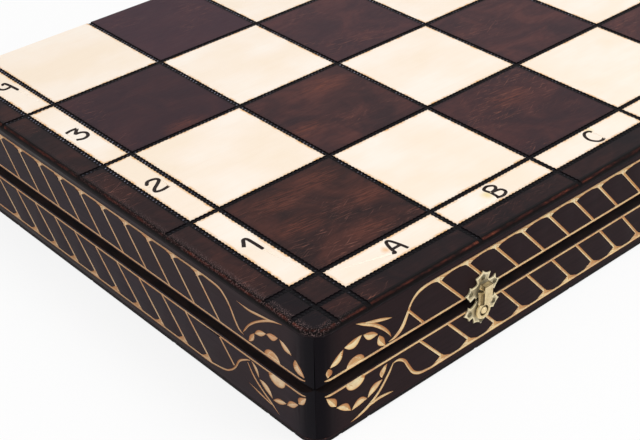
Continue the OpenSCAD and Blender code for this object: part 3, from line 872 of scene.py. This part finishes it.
# strokes of the letters and numbers: height 1, and True where a stroke is curved
GLYPHS = {
    "A": [(True, [(0.14, 0.14), (0.2, 0.5), (0.33, 0.88), (0.46, 1.0), (0.58, 0.88), (0.7, 0.45),
                  (0.78, 0.02)]),
          (False, [(0.0, 0.2), (0.17, 0.13)]), (False, [(0.2, 0.42), (0.64, 0.42)])],
    "B": [(True, [(0.08, 0.06), (0.1, 0.5), (0.04, 0.88), (0.34, 1.0), (0.62, 0.82), (0.5, 0.6),
                  (0.14, 0.52)]),
          (True, [(0.14, 0.52), (0.62, 0.42), (0.66, 0.14), (0.36, 0.0), (0.0, 0.06)])],
    "C": [(True, [(0.68, 0.82), (0.6, 0.96), (0.34, 0.98), (0.1, 0.76), (0.02, 0.4), (0.2, 0.08), (0.46, 0.0),
                  (0.68, 0.08)])],
    "D": [(False, [(0.05, 0.0), (0.05, 1.0)]),
          (True, [(0.05, 1.0), (0.42, 0.9), (0.66, 0.5), (0.42, 0.1), (0.05, 0.0)])],
    "E": [(False, [(0.6, 1.0), (0.05, 1.0), (0.05, 0.0), (0.6, 0.0)]), (False, [(0.05, 0.52), (0.5, 0.52)])],
    "F": [(False, [(0.6, 1.0), (0.05, 1.0), (0.05, 0.0)]), (False, [(0.05, 0.52), (0.48, 0.52)])],
    "G": [(True, [(0.62, 0.86), (0.42, 1.0), (0.14, 0.84), (0.02, 0.48), (0.14, 0.14), (0.4, 0.0),
                  (0.64, 0.12)]),
          (False, [(0.64, 0.1), (0.64, 0.46), (0.38, 0.46)])],
    "H": [(False, [(0.05, 0.0), (0.05, 1.0)]), (False, [(0.62, 0.0), (0.62, 1.0)]),
          (False, [(0.05, 0.5), (0.62, 0.5)])],
    "1": [(True, [(0.0, 0.57), (0.14, 0.76), (0.3, 0.97), (0.43, 0.93), (0.46, 0.6), (0.47, 0.0)])],
    "2": [(True, [(0.05, 0.74), (0.26, 0.95), (0.6, 0.9), (0.66, 0.72), (0.4, 0.5), (0.12, 0.3), (0.04, 0.1),
                  (0.32, 0.02), (0.7, 0.08)])],
    "3": [(True, [(0.02, 0.9), (0.3, 0.96), (0.61, 0.94)]), (False, [(0.61, 0.94), (0.27, 0.56)]),
          (True, [(0.27, 0.56), (0.54, 0.53), (0.7, 0.36), (0.62, 0.1), (0.34, 0.0), (0.03, 0.12)])],
    "4": [(True, [(0.04, 1.0), (0.0, 0.7), (0.1, 0.48), (0.3, 0.44), (0.56, 0.5)]),
          (True, [(0.3, 0.88), (0.46, 0.96), (0.54, 0.6), (0.6, 0.0)])],
    "5": [(False, [(0.6, 1.0), (0.14, 1.0), (0.1, 0.58)]),
          (True, [(0.1, 0.58), (0.4, 0.62), (0.62, 0.34), (0.4, 0.02), (0.03, 0.1)])],
    "6": [(True, [(0.5, 1.0), (0.15, 0.62), (0.05, 0.25), (0.3, 0.0), (0.58, 0.2), (0.42, 0.46),
                  (0.12, 0.36)])],
    "7": [(False, [(0.02, 1.0), (0.62, 1.0), (0.25, 0.0)]), (False, [(0.16, 0.5), (0.56, 0.5)])],
    "8": [(True, [(0.3, 0.54), (0.06, 0.78), (0.3, 1.0), (0.54, 0.78), (0.3, 0.54)]),
          (True, [(0.3, 0.54), (0.02, 0.24), (0.3, 0.0), (0.6, 0.24), (0.3, 0.54)])],
}


# how far some letters and numbers stand off the middle of their cell
GLYPH_SHIFT = {"A": 2.4, "C": 2.7, "E": 1.2, "G": -0.8, "1": 1.5, "2": 2.3, "4": -1.8, "6": 1.0, "8": -1.2}


def glyph_cuts(text, x, y, up):
    """Strokes of one letter or number centred at x, y; up is -1 where its top points to -Y."""
    wide = max(p[0] for _, rows in GLYPHS[text] for p in rows)
    share = LETTER_SHARE if text.isalpha() else 1
    high, half = GLYPH_H * share, GLYPH_HALF * share
    cuts = []
    for curved, rows in GLYPHS[text]:
        placed = [(x + (px - wide / 2) * high, y + up * (py - 0.5) * high, half) for px, py in rows]
        if curved:
            cuts.append(Stroke(placed, GLYPH_DEPTH, 5))
        else:
            cuts.extend(Stroke(pair, GLYPH_DEPTH) for pair in zip(placed, placed[1:]))
    return cuts


def beads(a, b):
    """Places along a burned line from a to b, a few steps to each bead."""
    count = BEAD_STEPS * max(1, round((b - a) / BEAD))
    return [a + (b - a) * i / count for i in range(count + 1)]


def bulge(i):
    """How far a bead swells at step i: nothing at its ends, one in its middle."""
    return abs(math.sin(math.pi * i / BEAD_STEPS))


# how much darker some stained squares are than the others, by column and row of the grid
SQUARE_TONES = {(2, 2): 0.36, (2, 4): 0.42, (3, 3): 0.12, (3, 5): 0.25, (4, 2): 0.25}


def spans(low, lines, high):
    """The stretches between burned lines."""
    half = LINE_W / 2
    return list(zip([low] + [v + half for v in lines], [v - half for v in lines] + [high]))


# how much darker than the others the stained border is: at its front corners (across, then
# along), in the front strip, and at the sides, where the first cell by the labels is paler
CORNER_TONES = ((0.93, 0.93), (0.66, 0.48))
FRONT_TONE = 0.72
SIDE_TONE = {2: 0.42}
SIDE_TONE_ELSE = 0.64


class Board:
    """One half of the chess board, drawn with t from its outer face; up is -1 for the base."""

    def __init__(self, half):
        self.half = half
        self.verts, self.faces, self.picks = [], [], []
        self.scorch, self.crest, self.tones, self.painted_sheens = [], [], [], []
        self.columns = spans(-HALF_W + EDGE_R, LINES_X, HALF_W - EDGE_R)
        self.rows = spans(-HALF_D + EDGE_R, LINES_Y, HALF_D)
        self.last_i, self.last_j = len(self.columns) - 1, len(self.rows) - 1

    def add(self, points, pick, scorch=None, crest=None, tone=0.0, painted_sheen=0.0):
        start = len(self.verts)
        self.verts.extend(points)
        self.scorch.extend(scorch or [0.0] * len(points))
        self.crest.extend(crest or [0.0] * len(points))
        self.faces.append(list(range(start, len(self.verts))))
        self.picks.append(pick)
        self.tones.append(tone)
        self.painted_sheens.append(painted_sheen)

    def label(self, i, j):
        """Letter or number in the cell of column i and row j."""
        if j == 1 and 2 <= i <= 9:
            return "ABCDEFGH"[i - 2]
        if i in (1, 10) and 2 <= j <= 5:
            return "1234"[j - 2] if self.half == "lid" else "8765"[j - 2]
        return None

    def is_light(self, i, j):
        if self.label(i, j):
            return True
        if 2 <= i <= 9 and j >= 2:
            odd = (i + j) % 2 == 1
            return odd if self.half == "lid" else not odd
        return False

    def tone(self, i, j):
        """How much darker than the others a stained cell is."""
        i = min(i, self.last_i - i)
        if j < 2 and i < 2:
            return CORNER_TONES[i][j]
        if j == 0:
            return FRONT_TONE
        if i == 0:
            return SIDE_TONE.get(j, SIDE_TONE_ELSE)
        return SQUARE_TONES.get((i, j), 0.05)

    def painted_sheen(self, i, j):
        """How strongly a stained square is painted with a purple-grey sheen: more so away from the front
        corner.
        """
        if j < 2 or not 2 <= i <= 9:
            return 0.0
        least = 0.35 if i > 3 else 0.0
        return min(0.8, max(least, 0.3 * (j - 2) - 0.08 * (i - 2)))

    def cell_outline(self, i, j):
        """A cell's outline, scalloped along its burned lines and round at the front corners."""
        (x0, x1), (y0, y1) = self.columns[i], self.rows[j]

        def side(a, b, fixed, inward, along_x):
            spots = beads(a, b) if a < b else beads(b, a)[::-1]
            swell = [fixed + inward * SCALLOP * bulge(k) for k in range(len(spots) - 1)]
            return list(zip(spots, swell) if along_x else zip(swell, spots))

        loop = side(x0, x1, y0, j > 0, True)
        loop += side(y0, y1, x1, -(i < self.last_i), False)
        loop += side(x1, x0, y1, -(j < self.last_j), True)
        loop += side(y1, y0, x0, i > 0, False)
        if j == 0 and i in (0, self.last_i):
            sign = -1 if i == 0 else 1
            cx, cy = sign * (HALF_W - CORNER_R), -HALF_D + CORNER_R
            radius = CORNER_R - EDGE_R
            kept = [p for p in loop if not ((p[0] - cx) * sign > -1e-6 and p[1] < cy + 1e-6)]
            kept += [(cx + sign * radius * math.sin(a), cy - radius * math.cos(a))
                     for a in np.linspace(0, math.pi / 2, CORNER_SPOTS)]
            middle = np.mean(kept, axis=0)
            loop = sorted(kept, key=lambda p: math.atan2(p[1] - middle[1], p[0] - middle[0]))
        return loop

    def cell(self, i, j):
        text = self.label(i, j)
        cuts = []
        if text:
            (x0, x1), (y0, y1) = self.columns[i], self.rows[j]
            shift = GLYPH_SHIFT.get(text, 0)
            across, along = (shift, 0) if j == 1 else (0, shift)
            up = 1 if self.half == "lid" else -1
            cuts = glyph_cuts(text, (x0 + x1) / 2 + across, (y0 + y1) / 2 + along, up)
        flat, tris, is_cut, depth = cut_patch(self.cell_outline(i, j), cuts, [self.halo(i, j)])
        ground = 0 if self.is_light(i, j) else 1
        scorch = [self.scorch_at(i, j, x, y) for x, y in flat]
        for tri, cut in zip(tris, is_cut):
            points = [(flat[v][0], flat[v][1], depth[v]) for v in tri]
            self.add(points, 3 if cut else ground, [scorch[v] for v in tri], None,
                     self.tone(i, j), self.painted_sheen(i, j))

    def lined_sides(self, i, j):
        """The cell's sides, each moved out of reach where no burned line runs along it."""
        (x0, x1), (y0, y1) = self.columns[i], self.rows[j]
        far = OUT_OF_REACH
        return (x0 - far * (i == 0), x1 + far * (i == self.last_i),
                y0 - far * (j == 0), y1 + far * (j == self.last_j))

    def scorch_at(self, i, j, x, y):
        x0, x1, y0, y1 = self.lined_sides(i, j)
        gap = min(x - x0, x1 - x, y - y0, y1 - y)
        return min(1.0, max(0.0, 1 - gap / SCORCH_W))

    def halo(self, i, j):
        """Inner edge of the scorched band along a cell's burned lines."""
        (x0, x1), (y0, y1) = self.columns[i], self.rows[j]
        a0, a1, b0, b1 = self.lined_sides(i, j)
        west, east = max(a0 + SCORCH_W, x0 + HALO_INSET), min(a1 - SCORCH_W, x1 - HALO_INSET)
        south, north = max(b0 + SCORCH_W, y0 + HALO_INSET), min(b1 - SCORCH_W, y1 - HALO_INSET)
        corner = HALO_CORNER if j == 0 and i in (0, self.last_i) else 0
        ring = [(west + corner * (i == 0), south), (east - corner * (i > 0), south), (east, south + corner),
                (east, north), (west, north), (west, south + corner)]
        return ring + ring[:1]

    def section(self, k, along_x):
        """Across a burned line at step k: offset, depth and painted glint of each point."""
        swell = bulge(k)
        half = LINE_W / 2 + SCALLOP * swell
        # painted glint at the middle of each bead, fainter on lines along x
        painted_glint = (0.5 if along_x else 1.0) * (k % BEAD_STEPS == BEAD_STEPS // 2)
        side = [(0.0, LINE_DEPTH - RIDGE * swell, painted_glint),
                (0.5 * half, LINE_DEPTH - 0.7 * RIDGE * swell, 0.15 * painted_glint),
                (half - WALL_IN, LINE_DEPTH - 0.06, 0.0), (half, 0.0, 0.0)]
        return [(-w, t, c) for w, t, c in side[:0:-1]] + side

    def groove(self, spots, centre, along_x):
        """The beaded floor of one burned line between two crossings."""
        rows = []
        for k, v in enumerate(spots):
            row = self.section(k, along_x)
            rows.append([((v, centre + w, t) if along_x else (centre + w, v, t), c) for w, t, c in row])
        for a, b in zip(rows, rows[1:]):
            for k in range(len(a) - 1):
                quad = [a[k], a[k + 1], b[k + 1], b[k]]
                edge = [1.0 if q[0][2] == 0 else 0.0 for q in quad]
                self.add([q[0] for q in quad], 2, edge, [q[1] for q in quad])

    def crossing(self, x, y):
        """The raised middle where two burned lines cross."""
        half = LINE_W / 2
        inner = self.section(0, True)[1:-1]
        ring = []
        for turn in range(4):
            c, s = round(math.cos(turn * math.pi / 2)), round(math.sin(turn * math.pi / 2))
            ring.extend((x + c * half - s * w, y + s * half + c * w, t) for w, t, _ in inner)
        for k, a in enumerate(ring):
            b = ring[(k + 1) % len(ring)]
            self.add([a, b, (x, y, LINE_DEPTH - RIDGE / 2)], 2)
            if (k + 1) % len(inner) == 0:
                corner = (a[0] if abs(a[0] - x) > abs(b[0] - x) else b[0],
                          a[1] if abs(a[1] - y) > abs(b[1] - y) else b[1], 0)
                self.add([a, b, corner], 2, [0.0, 0.0, 1.0])

    def build(self):
        for i in range(len(self.columns)):
            for j in range(len(self.rows)):
                self.cell(i, j)
        for x in LINES_X:
            for y0, y1 in self.rows:
                self.groove(beads(y0, y1), x, False)
            for y in LINES_Y:
                self.crossing(x, y)
        for y in LINES_Y:
            for x0, x1 in self.columns:
                self.groove(beads(x0, x1), y, True)
        self.close()

    def outward(self, x, y):
        """Level direction in which the panel's edge faces at this point."""
        sign = -1 if x < 0 else 1
        dx, dy = abs(x) - (HALF_W - CORNER_R), -HALF_D + CORNER_R - y
        if dx > 0 and dy > 0:
            length = math.hypot(dx, dy)
            return sign * dx / length, -dy / length
        if abs(x) > HALF_W - EDGE_R - 0.01:
            return sign, 0
        return (0, 0) if y > 0 else (0, -1)

    def off_lines(self, point):
        """0 where a burned line runs over the panel's edge, else 1."""
        x, y, _ = point
        on_side = abs(x) > HALF_W - EDGE_R - 0.01
        place, lines = (y, LINES_Y) if on_side else (x, LINES_X)
        return float(min(abs(place - line) for line in lines) > LINE_W / 2 + 0.01)

    def close(self):
        """Adds the rounded edge, the sides and the inner face."""
        bm = bmesh.new()
        for v in self.verts:
            bm.verts.new(v)
        bm.verts.ensure_lookup_table()
        for f in self.faces:
            bm.faces.new([bm.verts[i] for i in f])
        bmesh.ops.remove_doubles(bm, verts=bm.verts, dist=1e-3)
        border = [e for e in bm.edges if len(e.link_faces) == 1]
        follow = {}
        for e in border:
            for a, b in (e.verts, reversed(e.verts)):
                follow.setdefault(a, []).append(b)
        start = border[0].verts[0]
        loop, previous, at = [start], None, start
        while True:
            step = [v for v in follow[at] if v is not previous]
            previous, at = at, step[0]
            if at is start:
                break
            loop.append(at)
        rings = [[tuple(v.co) for v in loop]]
        for k in range(1, len(EDGE_ROUND)):
            angle = math.radians(EDGE_ROUND[k][0])
            kept = 1 - k / (len(EDGE_ROUND) - 1)
            ring = []
            for x, y, t in rings[0]:
                radius = EDGE_R - t * kept
                nx, ny = self.outward(x, y)
                reach = radius * math.sin(angle)
                ring.append((x + nx * reach, y + ny * reach, EDGE_R - radius * math.cos(angle)))
            rings.append(ring)
        rings.append([(x, y, BOARD_T) for x, y, _ in rings[-1]])
        wear = 1.0 if self.half == "lid" else 0.15
        rub = [wear * share for _, share in EDGE_ROUND] + [0.0]
        for level, (a, b) in enumerate(zip(rings, rings[1:])):
            for k in range(len(a)):
                n = (k + 1) % len(a)
                here, there = self.off_lines(rings[0][k]), self.off_lines(rings[0][n])
                worn = [rub[level] * here, rub[level] * there, rub[level + 1] * there, rub[level + 1] * here]
                self.add([a[k], a[n], b[n], b[k]], 4, None, worn)
        flat, tris, _, _ = cut_patch([(p[0], p[1]) for p in rings[-1]], [])
        for tri in tris:
            self.add([(flat[v][0], flat[v][1], BOARD_T) for v in tri], 1)
        bm.free()

    def piece(self):
        self.build()
        up = (lambda t: CASE_H - t) if self.half == "lid" else (lambda t: t)
        verts = [(x, y, up(t)) for x, y, t in self.verts]
        materials = [BIRCH, STAINED, BURNED, GLYPH, EDGE]
        # the second list holds the painted glints of the burned lines and how far the panel's edge is rubbed
        values = {"scorch": self.scorch, "crest": self.crest}
        piece = make_piece(f"burned_{self.half}_board", verts, self.faces, materials, self.picks, values,
                           {"tone": self.tones, "painted_sheen": self.painted_sheens})
        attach(piece, self.half)
        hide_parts(f"{self.half}_board")


# ---- linings ----


FELT_STEPS = (60, 30)
NAP = 0.06


def lining_piece(half):
    """Felt laid on the inner side of the board; the side that shows is a little uneven."""
    low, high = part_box(f"{half}_lining")
    wide, deep = FELT_STEPS
    shown, inward = (1, -1) if half == "base" else (0, 1)
    verts = []
    for level, z in enumerate((low.z, high.z)):
        for j in range(deep + 1):
            for i in range(wide + 1):
                nap = NAP * (1 + math.sin(i * 1.7 + j * 0.9) * math.sin(j * 2.3 - i * 0.6))
                x = low.x + (high.x - low.x) * i / wide
                y = low.y + (high.y - low.y) * j / deep
                verts.append((x / MM, y / MM, z / MM + inward * nap * (level == shown)))

    def at(level, i, j):
        return (level * (deep + 1) + j) * (wide + 1) + i

    faces = [[at(level, i, j), at(level, i + 1, j), at(level, i + 1, j + 1), at(level, i, j + 1)]
             for level in (0, 1) for j in range(deep) for i in range(wide)]
    faces += [[at(0, i, j), at(0, i + 1, j), at(1, i + 1, j), at(1, i, j)]
              for i in range(wide) for j in (0, deep)]
    faces += [[at(0, i, j), at(0, i, j + 1), at(1, i, j + 1), at(1, i, j)]
              for j in range(deep) for i in (0, wide)]
    piece = make_piece(f"{half}_felt", verts, faces, [FELT], [0] * len(faces))
    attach(piece, half)
    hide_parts(f"{half}_lining")


# ---- latches: x along the rail, y up from the seam, z off the face ----

PLATE_T = 0.8
FIELD_T = 0.5
NAIL_BOSS = 1.0
# spacing of the plate's mesh, and how far its sides are drawn in
PLATE_STEP = 0.28
PLATE_BOW = 0.09
PLATES = {
    "catch": [(0, 0.3), (3.9, 0.3), (4.4, 1.5), (7.1, 0.3), (8.3, 2.2), (9.8, 4), (8, 4.8),
              (7.4, 7.4), (6.2, 6.4), (4.4, 6.4), (3.1, 7.2), (4.2, 10.1), (1.8, 10.7), (0, 12.3)],
    "base": [(0, -0.9), (3.2, -0.9), (4.3, -2.3), (6.6, -3.4), (7.8, -2.2), (8.9, -4.2), (10.2, -5.7),
             (8.5, -7), (7.3, -9.1), (5.2, -8.4), (4.3, -11.6), (2.4, -12), (0, -13.8)],
}
NAILS = {"catch": [(-7, 4), (7, 4), (0, 9.2)], "base": [(-7, -5.9), (7, -5.9), (0, -12)]}
PEG = (4.6, 0.9, 3.2)
PIVOT_Y = -6.5


def on_rail(points, side):
    """Points of a latch, from its own place to its place on the case."""
    low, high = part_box(f"latch_{side}_lever")
    middle = (low.x + high.x) / 2 / MM
    return [(middle + x, -HALF_D - z, CASE_H / 2 + y) for x, y, z in points]


def curved_plate(name):
    """A plate's whole outline, with its sides drawn in a little between the tips."""
    right = PLATES[name]
    loop = right + [(-x, y) for x, y in right[-2:0:-1]]
    centre = np.mean(loop, axis=0)
    rows = []
    for a, b in zip(loop, loop[1:] + loop[:1]):
        a, b = np.array(a), np.array(b)
        pull = centre - (a + b) / 2
        pull = PLATE_BOW * np.linalg.norm(b - a) * pull / np.linalg.norm(pull)
        for t in np.linspace(0, 1, 7)[:-1]:
            rows.append(a + (b - a) * t + pull * 4 * t * (1 - t))
    return np.array(rows)


def edge_gap(points, loop):
    """Distance of each point from the nearest stretch of a closed outline."""
    return nearest(points, loop, np.roll(loop, -1, axis=0))[1].min(1)


def is_inside(points, loop):
    """True for each point within a closed outline."""
    a, b = loop, np.roll(loop, -1, axis=0)
    x, y = points[:, :1], points[:, 1:]
    rise = np.where(b[:, 1] == a[:, 1], 1e-9, b[:, 1] - a[:, 1])
    crosses = ((a[:, 1] > y) != (b[:, 1] > y)) & (x < (b[:, 0] - a[:, 0]) * (y - a[:, 1]) / rise + a[:, 0])
    return crosses.sum(1) % 2 == 1


def stamped_plate(name):
    """A plate with a raised rim, a sunken field and a seat for each nail."""
    loop = curved_plate(name)
    low, high = loop.min(0), loop.max(0)
    grid = np.array([(x + PLATE_STEP / 2 * (j % 2), y)
                     for j, y in enumerate(np.arange(low[1], high[1], PLATE_STEP * 0.87))
                     for x in np.arange(low[0], high[0], PLATE_STEP)])
    grid = grid[is_inside(grid, loop)]
    grid = grid[edge_gap(grid, loop) > 0.13]
    points = [Vector(p) for p in np.vstack([loop, grid])]
    found, _, tris, _, _, _ = delaunay_2d_cdt(points, [], [list(range(len(loop)))], 1, 1e-5)
    flat = np.array([(p.x, p.y) for p in found])
    gap = edge_gap(flat, loop)
    reach = np.min([np.hypot(flat[:, 0] - x, flat[:, 1] - y) for x, y in NAILS[name]], axis=0)
    height = np.interp(gap, [0, 0.18, 0.45, 0.85], [0.62, PLATE_T, PLATE_T, FIELD_T])
    height = np.maximum(height, np.interp(reach, [0, NAIL_BOSS, 1.25], [PLATE_T, PLATE_T, FIELD_T]))
    # hollow: the sunken field and a ring round each nail seat are darkened as dirt and painted shade; the
    # underside is painted at 0.6
    hollow = 0.45 * np.clip((PLATE_T - height) / (PLATE_T - FIELD_T), 0, 1) * (gap > 0.05)
    hollow = np.maximum(hollow, np.interp(reach, [NAIL_BOSS, 1.15, 1.35], [0.9, 0.9, 0.0]))
    verts = [(x, y, h) for (x, y), h in zip(flat, height)]
    faces = [list(t) for t in tris]
    rim = [int(np.argmin(np.hypot(*(flat - p).T))) for p in loop]
    foot = len(verts)
    verts += [(x, y, 0.0) for x, y in flat]
    faces += [[v + foot for v in reversed(t)] for t in tris]
    faces += ring_faces(rim, [v + foot for v in rim])
    return verts, faces, list(hollow) + [0.6] * len(flat)


def turned(profile, x, y, steps=32):
    """A closed ring turned about z from rows of radius, z and hollow."""
    verts, faces, hollow = [], [], []
    for i in range(steps):
        angle = 2 * math.pi * i / steps
        for r, z, dark in profile:
            verts.append((x + r * math.cos(angle), y + r * math.sin(angle), z))
            hollow.append(dark)
    count = len(profile)
    rings = [list(range(i * count, (i + 1) * count)) for i in range(steps)]
    for a, b in zip(rings, rings[1:] + rings[:1]):
        faces += ring_faces(a, b)
    return verts, faces, hollow


def joined(parts):
    """Several closed shells as one list of vertices, faces and hollows."""
    verts, faces, hollow = [], [], []
    for v, f, h in parts:
        faces += [[i + len(verts) for i in face] for face in f]
        verts += v
        hollow += h
    return verts, faces, hollow


# along the lever: y, underside, top, left underside, reach of the left and right flange
LEVER = [
    (-3.7, 1.0, 1.9, 1.0, 2.4, 2.4),
    (-3.0, 1.2, 2.25, 1.2, 2.9, 2.9),
    (-2.4, 1.4, 3.1, 1.4, 3.3, 3.3),
    (-1.8, 1.62, 3.95, 1.62, 3.6, 3.6),
    (-1.3, 1.65, 4.15, 1.65, 3.65, 3.65),
    (0.5, 1.65, 4.18, 1.65, 3.5, 3.5),
    (2.8, 1.65, 4.18, 1.65, 3.7, 3.7),
    (3.9, 1.65, 4.18, 1.65, 3.95, 3.7),
    (4.1, 1.65, 4.18, 3.3, 2.5, 3.7),
    (5.3, 1.65, 4.18, 3.3, 2.5, 3.7),
    (5.5, 1.6, 4.18, 1.6, 3.2, 3.5),
    (6.4, 1.5, 4.18, 1.5, 2.9, 2.9),
    (6.95, 1.45, 4.18, 1.45, 2.6, 2.6),
]
WALL_X = 2.4
SHEET = 0.55
FLANGE_T = 0.45


def channel_side(reach, foot, top, slim):
    """One side of the channel's section, from its flange's edge to its front: x, z and hollow, which paints
    shade on the wall, darkest near the front.
    """
    waist = (foot + FLANGE_T + top) / 2
    return [
        (reach, foot, 0.5), (reach, foot + FLANGE_T, 0.0),
        (min(WALL_X + 0.3, reach - 0.02), foot + FLANGE_T, 0.1), (WALL_X, foot + FLANGE_T + 0.06, 0.6),
        ((WALL_X + slim) / 2, waist, 0.7), (slim, max(top - 0.34, waist + 0.02), 0.95),
        (slim - 0.03, top - 0.18, 0.1), (slim - 0.2, top, 0.0), (slim - 0.5, top, 0.25),
    ]


def lever_channel():
    """The lever's folded sheet: a raised channel between two flanges, closed at its top end."""
    rings = []
    for row, (y, foot, top, left, reach_l, reach_r) in enumerate(LEVER):
        slim = WALL_X - 0.05 * (top - foot)
        inner = max(top - SHEET, left + 0.05)
        if row in (0, len(LEVER) - 1):
            inner = max(foot, left) + 0.05
        ring = [(-x, z, dark) for x, z, dark in channel_side(reach_l, left, top, slim)]
        ring += channel_side(reach_r, foot, top, slim)[::-1]
        # the inside of the sheet is painted fully dark, as shade
        ring += [(slim - SHEET, foot, 1.0), (slim - SHEET, inner, 1.0), (-slim + SHEET, inner, 1.0),
                 (-slim + SHEET, left, 1.0)]
        rings.append([(x, y, z, dark) for x, z, dark in ring])
    count = len(rings[0])
    loops = [list(range(row * count, (row + 1) * count)) for row in range(len(rings))]
    faces = [face for a, b in zip(loops, loops[1:]) for face in ring_faces(a, b)]
    # places in a section: round the channel, and in the left and the right flange
    box, flanges = [*range(3, 15), 18, 19, 20, 21], ((0, 1, 2, 3, 21), (14, 15, 16, 17, 18))
    faces.append(box)
    faces += [[loop[k] for k in flange] for loop in (loops[0], loops[-1]) for flange in flanges]
    rows = [p for ring in rings for p in ring]
    # the top end is outlined in dark and a little duller than the front
    outline = [loops[-1][k] for k in box]
    _, y, foot, _ = rings[-1][18]
    middle = (foot + LEVER[-1][2]) / 2
    for share, dark in ((0.9, 0.98), (0.78, 0.55)):
        start = len(rows)
        for k in box:
            x, _, z, _ = rings[-1][k]
            rows.append((x * share, y, middle + (z - middle) * share, dark))
        inset = list(range(start, len(rows)))
        faces += ring_faces(outline, inset)
        outline = inset
    faces.append(outline)
    return [p[:3] for p in rows], faces, [p[3] for p in rows]


def boss_ring():
    """The lever's round boss: a broad ring with a raised lip, dished in the middle."""
    # rows of radius, z and hollow; the hollow paints the dish and the inner walls dark, as dirt and painted
    # shade
    profile = [
        (0.98, 0.95, 1.0), (3.75, 0.95, 0.5), (3.98, 1.15, 0.2), (3.98, 1.85, 0.1), (3.75, 2.08, 0.0),
        (3.4, 2.1, 0.0), (3.25, 1.98, 0.3), (2.9, 1.98, 0.3), (2.75, 2.1, 0.0), (2.5, 2.08, 0.15),
        (2.4, 1.3, 1.0), (1.75, 1.3, 1.0), (1.66, 1.68, 0.9), (0.98, 1.68, 0.9),
    ]
    return turned(profile, 0, PIVOT_Y, 48)


def latch_piece(side, kind, parts, node, body, material):
    verts, faces, hollow = joined(parts)
    name = f"latch_{side}_{kind}"
    piece = make_piece(name, on_rail(verts, side), faces, [material], [0] * len(faces), {"hollow": hollow},
                       angle=40)
    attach(piece, body)
    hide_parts(node)


def latch(side):
    y, radius, top = PEG
    # the peg's foot is painted half dark, as dirt and painted shade where it meets the plate
    peg = turned([(0.02, 0.4, 0.5), (radius, 0.4, 0.5), (radius, top - 0.2, 0.2), (radius - 0.2, top, 0.0),
                  (0.02, top, 0.0)], 0, y)
    latch_piece(side, "upper_plate", [stamped_plate("catch"), peg], f"latch_{side}_catch_plate", "lid", PLATE)
    latch_piece(side, "lower_plate", [stamped_plate("base")], f"latch_{side}_base_plate", "base", PLATE)
    latch_piece(side, "swing_lever", [lever_channel(), boss_ring()], f"latch_{side}_lever",
                f"latch_{side}_lever", LEVER_BRASS)


# ---- nodes that keep their solids ----


def dress(node, material):
    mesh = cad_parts[node].data
    mesh.materials.clear()
    mesh.materials.append(material)


# ---- stage, camera, light ----


FOCAL_PX = 1408.5
IMAGE_W = 640
SENSOR_W = 36
CAMERA_AT = (-527.1, -432.6, 368.3)
CAMERA_TURN = (-41.338, 33.767, -1.302)


def make_camera():
    """The photograph's view: azimuth, elevation and roll solved from the board's grid."""
    camera = bpy.data.cameras.new("camera")
    camera.sensor_width = SENSOR_W
    camera.lens = FOCAL_PX / IMAGE_W * SENSOR_W
    camera.clip_start, camera.clip_end = 0.01, 20
    body = place_object("camera", camera)
    azimuth, elevation, roll = (math.radians(v) for v in CAMERA_TURN)
    level = math.cos(elevation)
    back = Vector((math.sin(azimuth) * level, -math.cos(azimuth) * level, math.sin(elevation)))
    turn = back.to_track_quat("Z", "Y").to_matrix() @ Matrix.Rotation(roll, 3, "Z")
    body.matrix_world = Matrix.Translation(Vector(CAMERA_AT) * MM) @ turn.to_4x4()
    bpy.context.scene.camera = body


FLOOR_REACH = 6
FLOOR_GLOW = 0.85


def make_floor():
    """White floor that keeps the shadow, and shows white to the camera."""
    mesh = bpy.data.meshes.new("floor")
    corners = [(x * FLOOR_REACH, y * FLOOR_REACH, 0) for x, y in ((-1, -1), (1, -1), (1, 1), (-1, 1))]
    mesh.from_pydata(corners, [], [(0, 1, 2, 3)])
    p = Paint("floor_white")
    mesh.materials.append(p.finish((0.93, 0.93, 0.93, 1), 0.9, 0.5))
    glow = p.add("Emission", {"Color": (1, 1, 1, 1), "Strength": 1.0})
    share = p.times(p.seen(), FLOOR_GLOW)
    mix = p.add("MixShader", {0: share, 1: p.shader.outputs[0], 2: glow.outputs[0]})
    p.put(p.output.inputs[0], mix.outputs[0])
    floor = place_object("floor", mesh)


WORLD_LIGHT = 0.45


def make_world():
    """Even light from all sides, and plain white where the background itself is seen."""
    world = bpy.data.worlds.new("studio")
    bpy.context.scene.world = world
    world.use_nodes = True
    nodes = Nodes(world.node_tree)
    background = world.node_tree.nodes["Background"].inputs
    nodes.put(background["Color"], (1, 1, 1, 1))
    level = nodes.add("Mix", {"Factor": nodes.seen(), "A": WORLD_LIGHT, "B": 1.0})
    nodes.put(background["Strength"], level.outputs["Result"])


def lamp(name, place, size, watts):
    """Soft square lamp that looks at the case."""
    light = bpy.data.lights.new(name, "AREA")
    light.energy = watts
    light.size = size
    body = place_object(name, light)
    body.location = place
    body.rotation_mode = "QUATERNION"
    body.rotation_quaternion = Vector(place).to_track_quat("Z", "Y")


for half in ("base", "lid"):
    for where in ("front", "left", "right"):
        rail_piece(where, half)
    Board(half).piece()
    lining_piece(half)
for side in ("left", "right"):
    latch(side)
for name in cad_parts:
    if name.endswith("back_rail"):
        dress(name, RAIL_X)
    elif name.startswith("hinge"):
        dress(name, STEEL if name.endswith("pin") else HINGE)
    elif name.startswith("latch"):
        dress(name, NAIL if name.endswith("nails") else LEVER_BRASS)

make_camera()
make_floor()
make_world()
lamp("key", (0.4, -0.65, 1.6), 1.2, 18.6)
lamp("fill", (-1.5, -0.3, 0.8), 1.0, 6)
bpy.context.scene.view_settings.view_transform = "Standard"
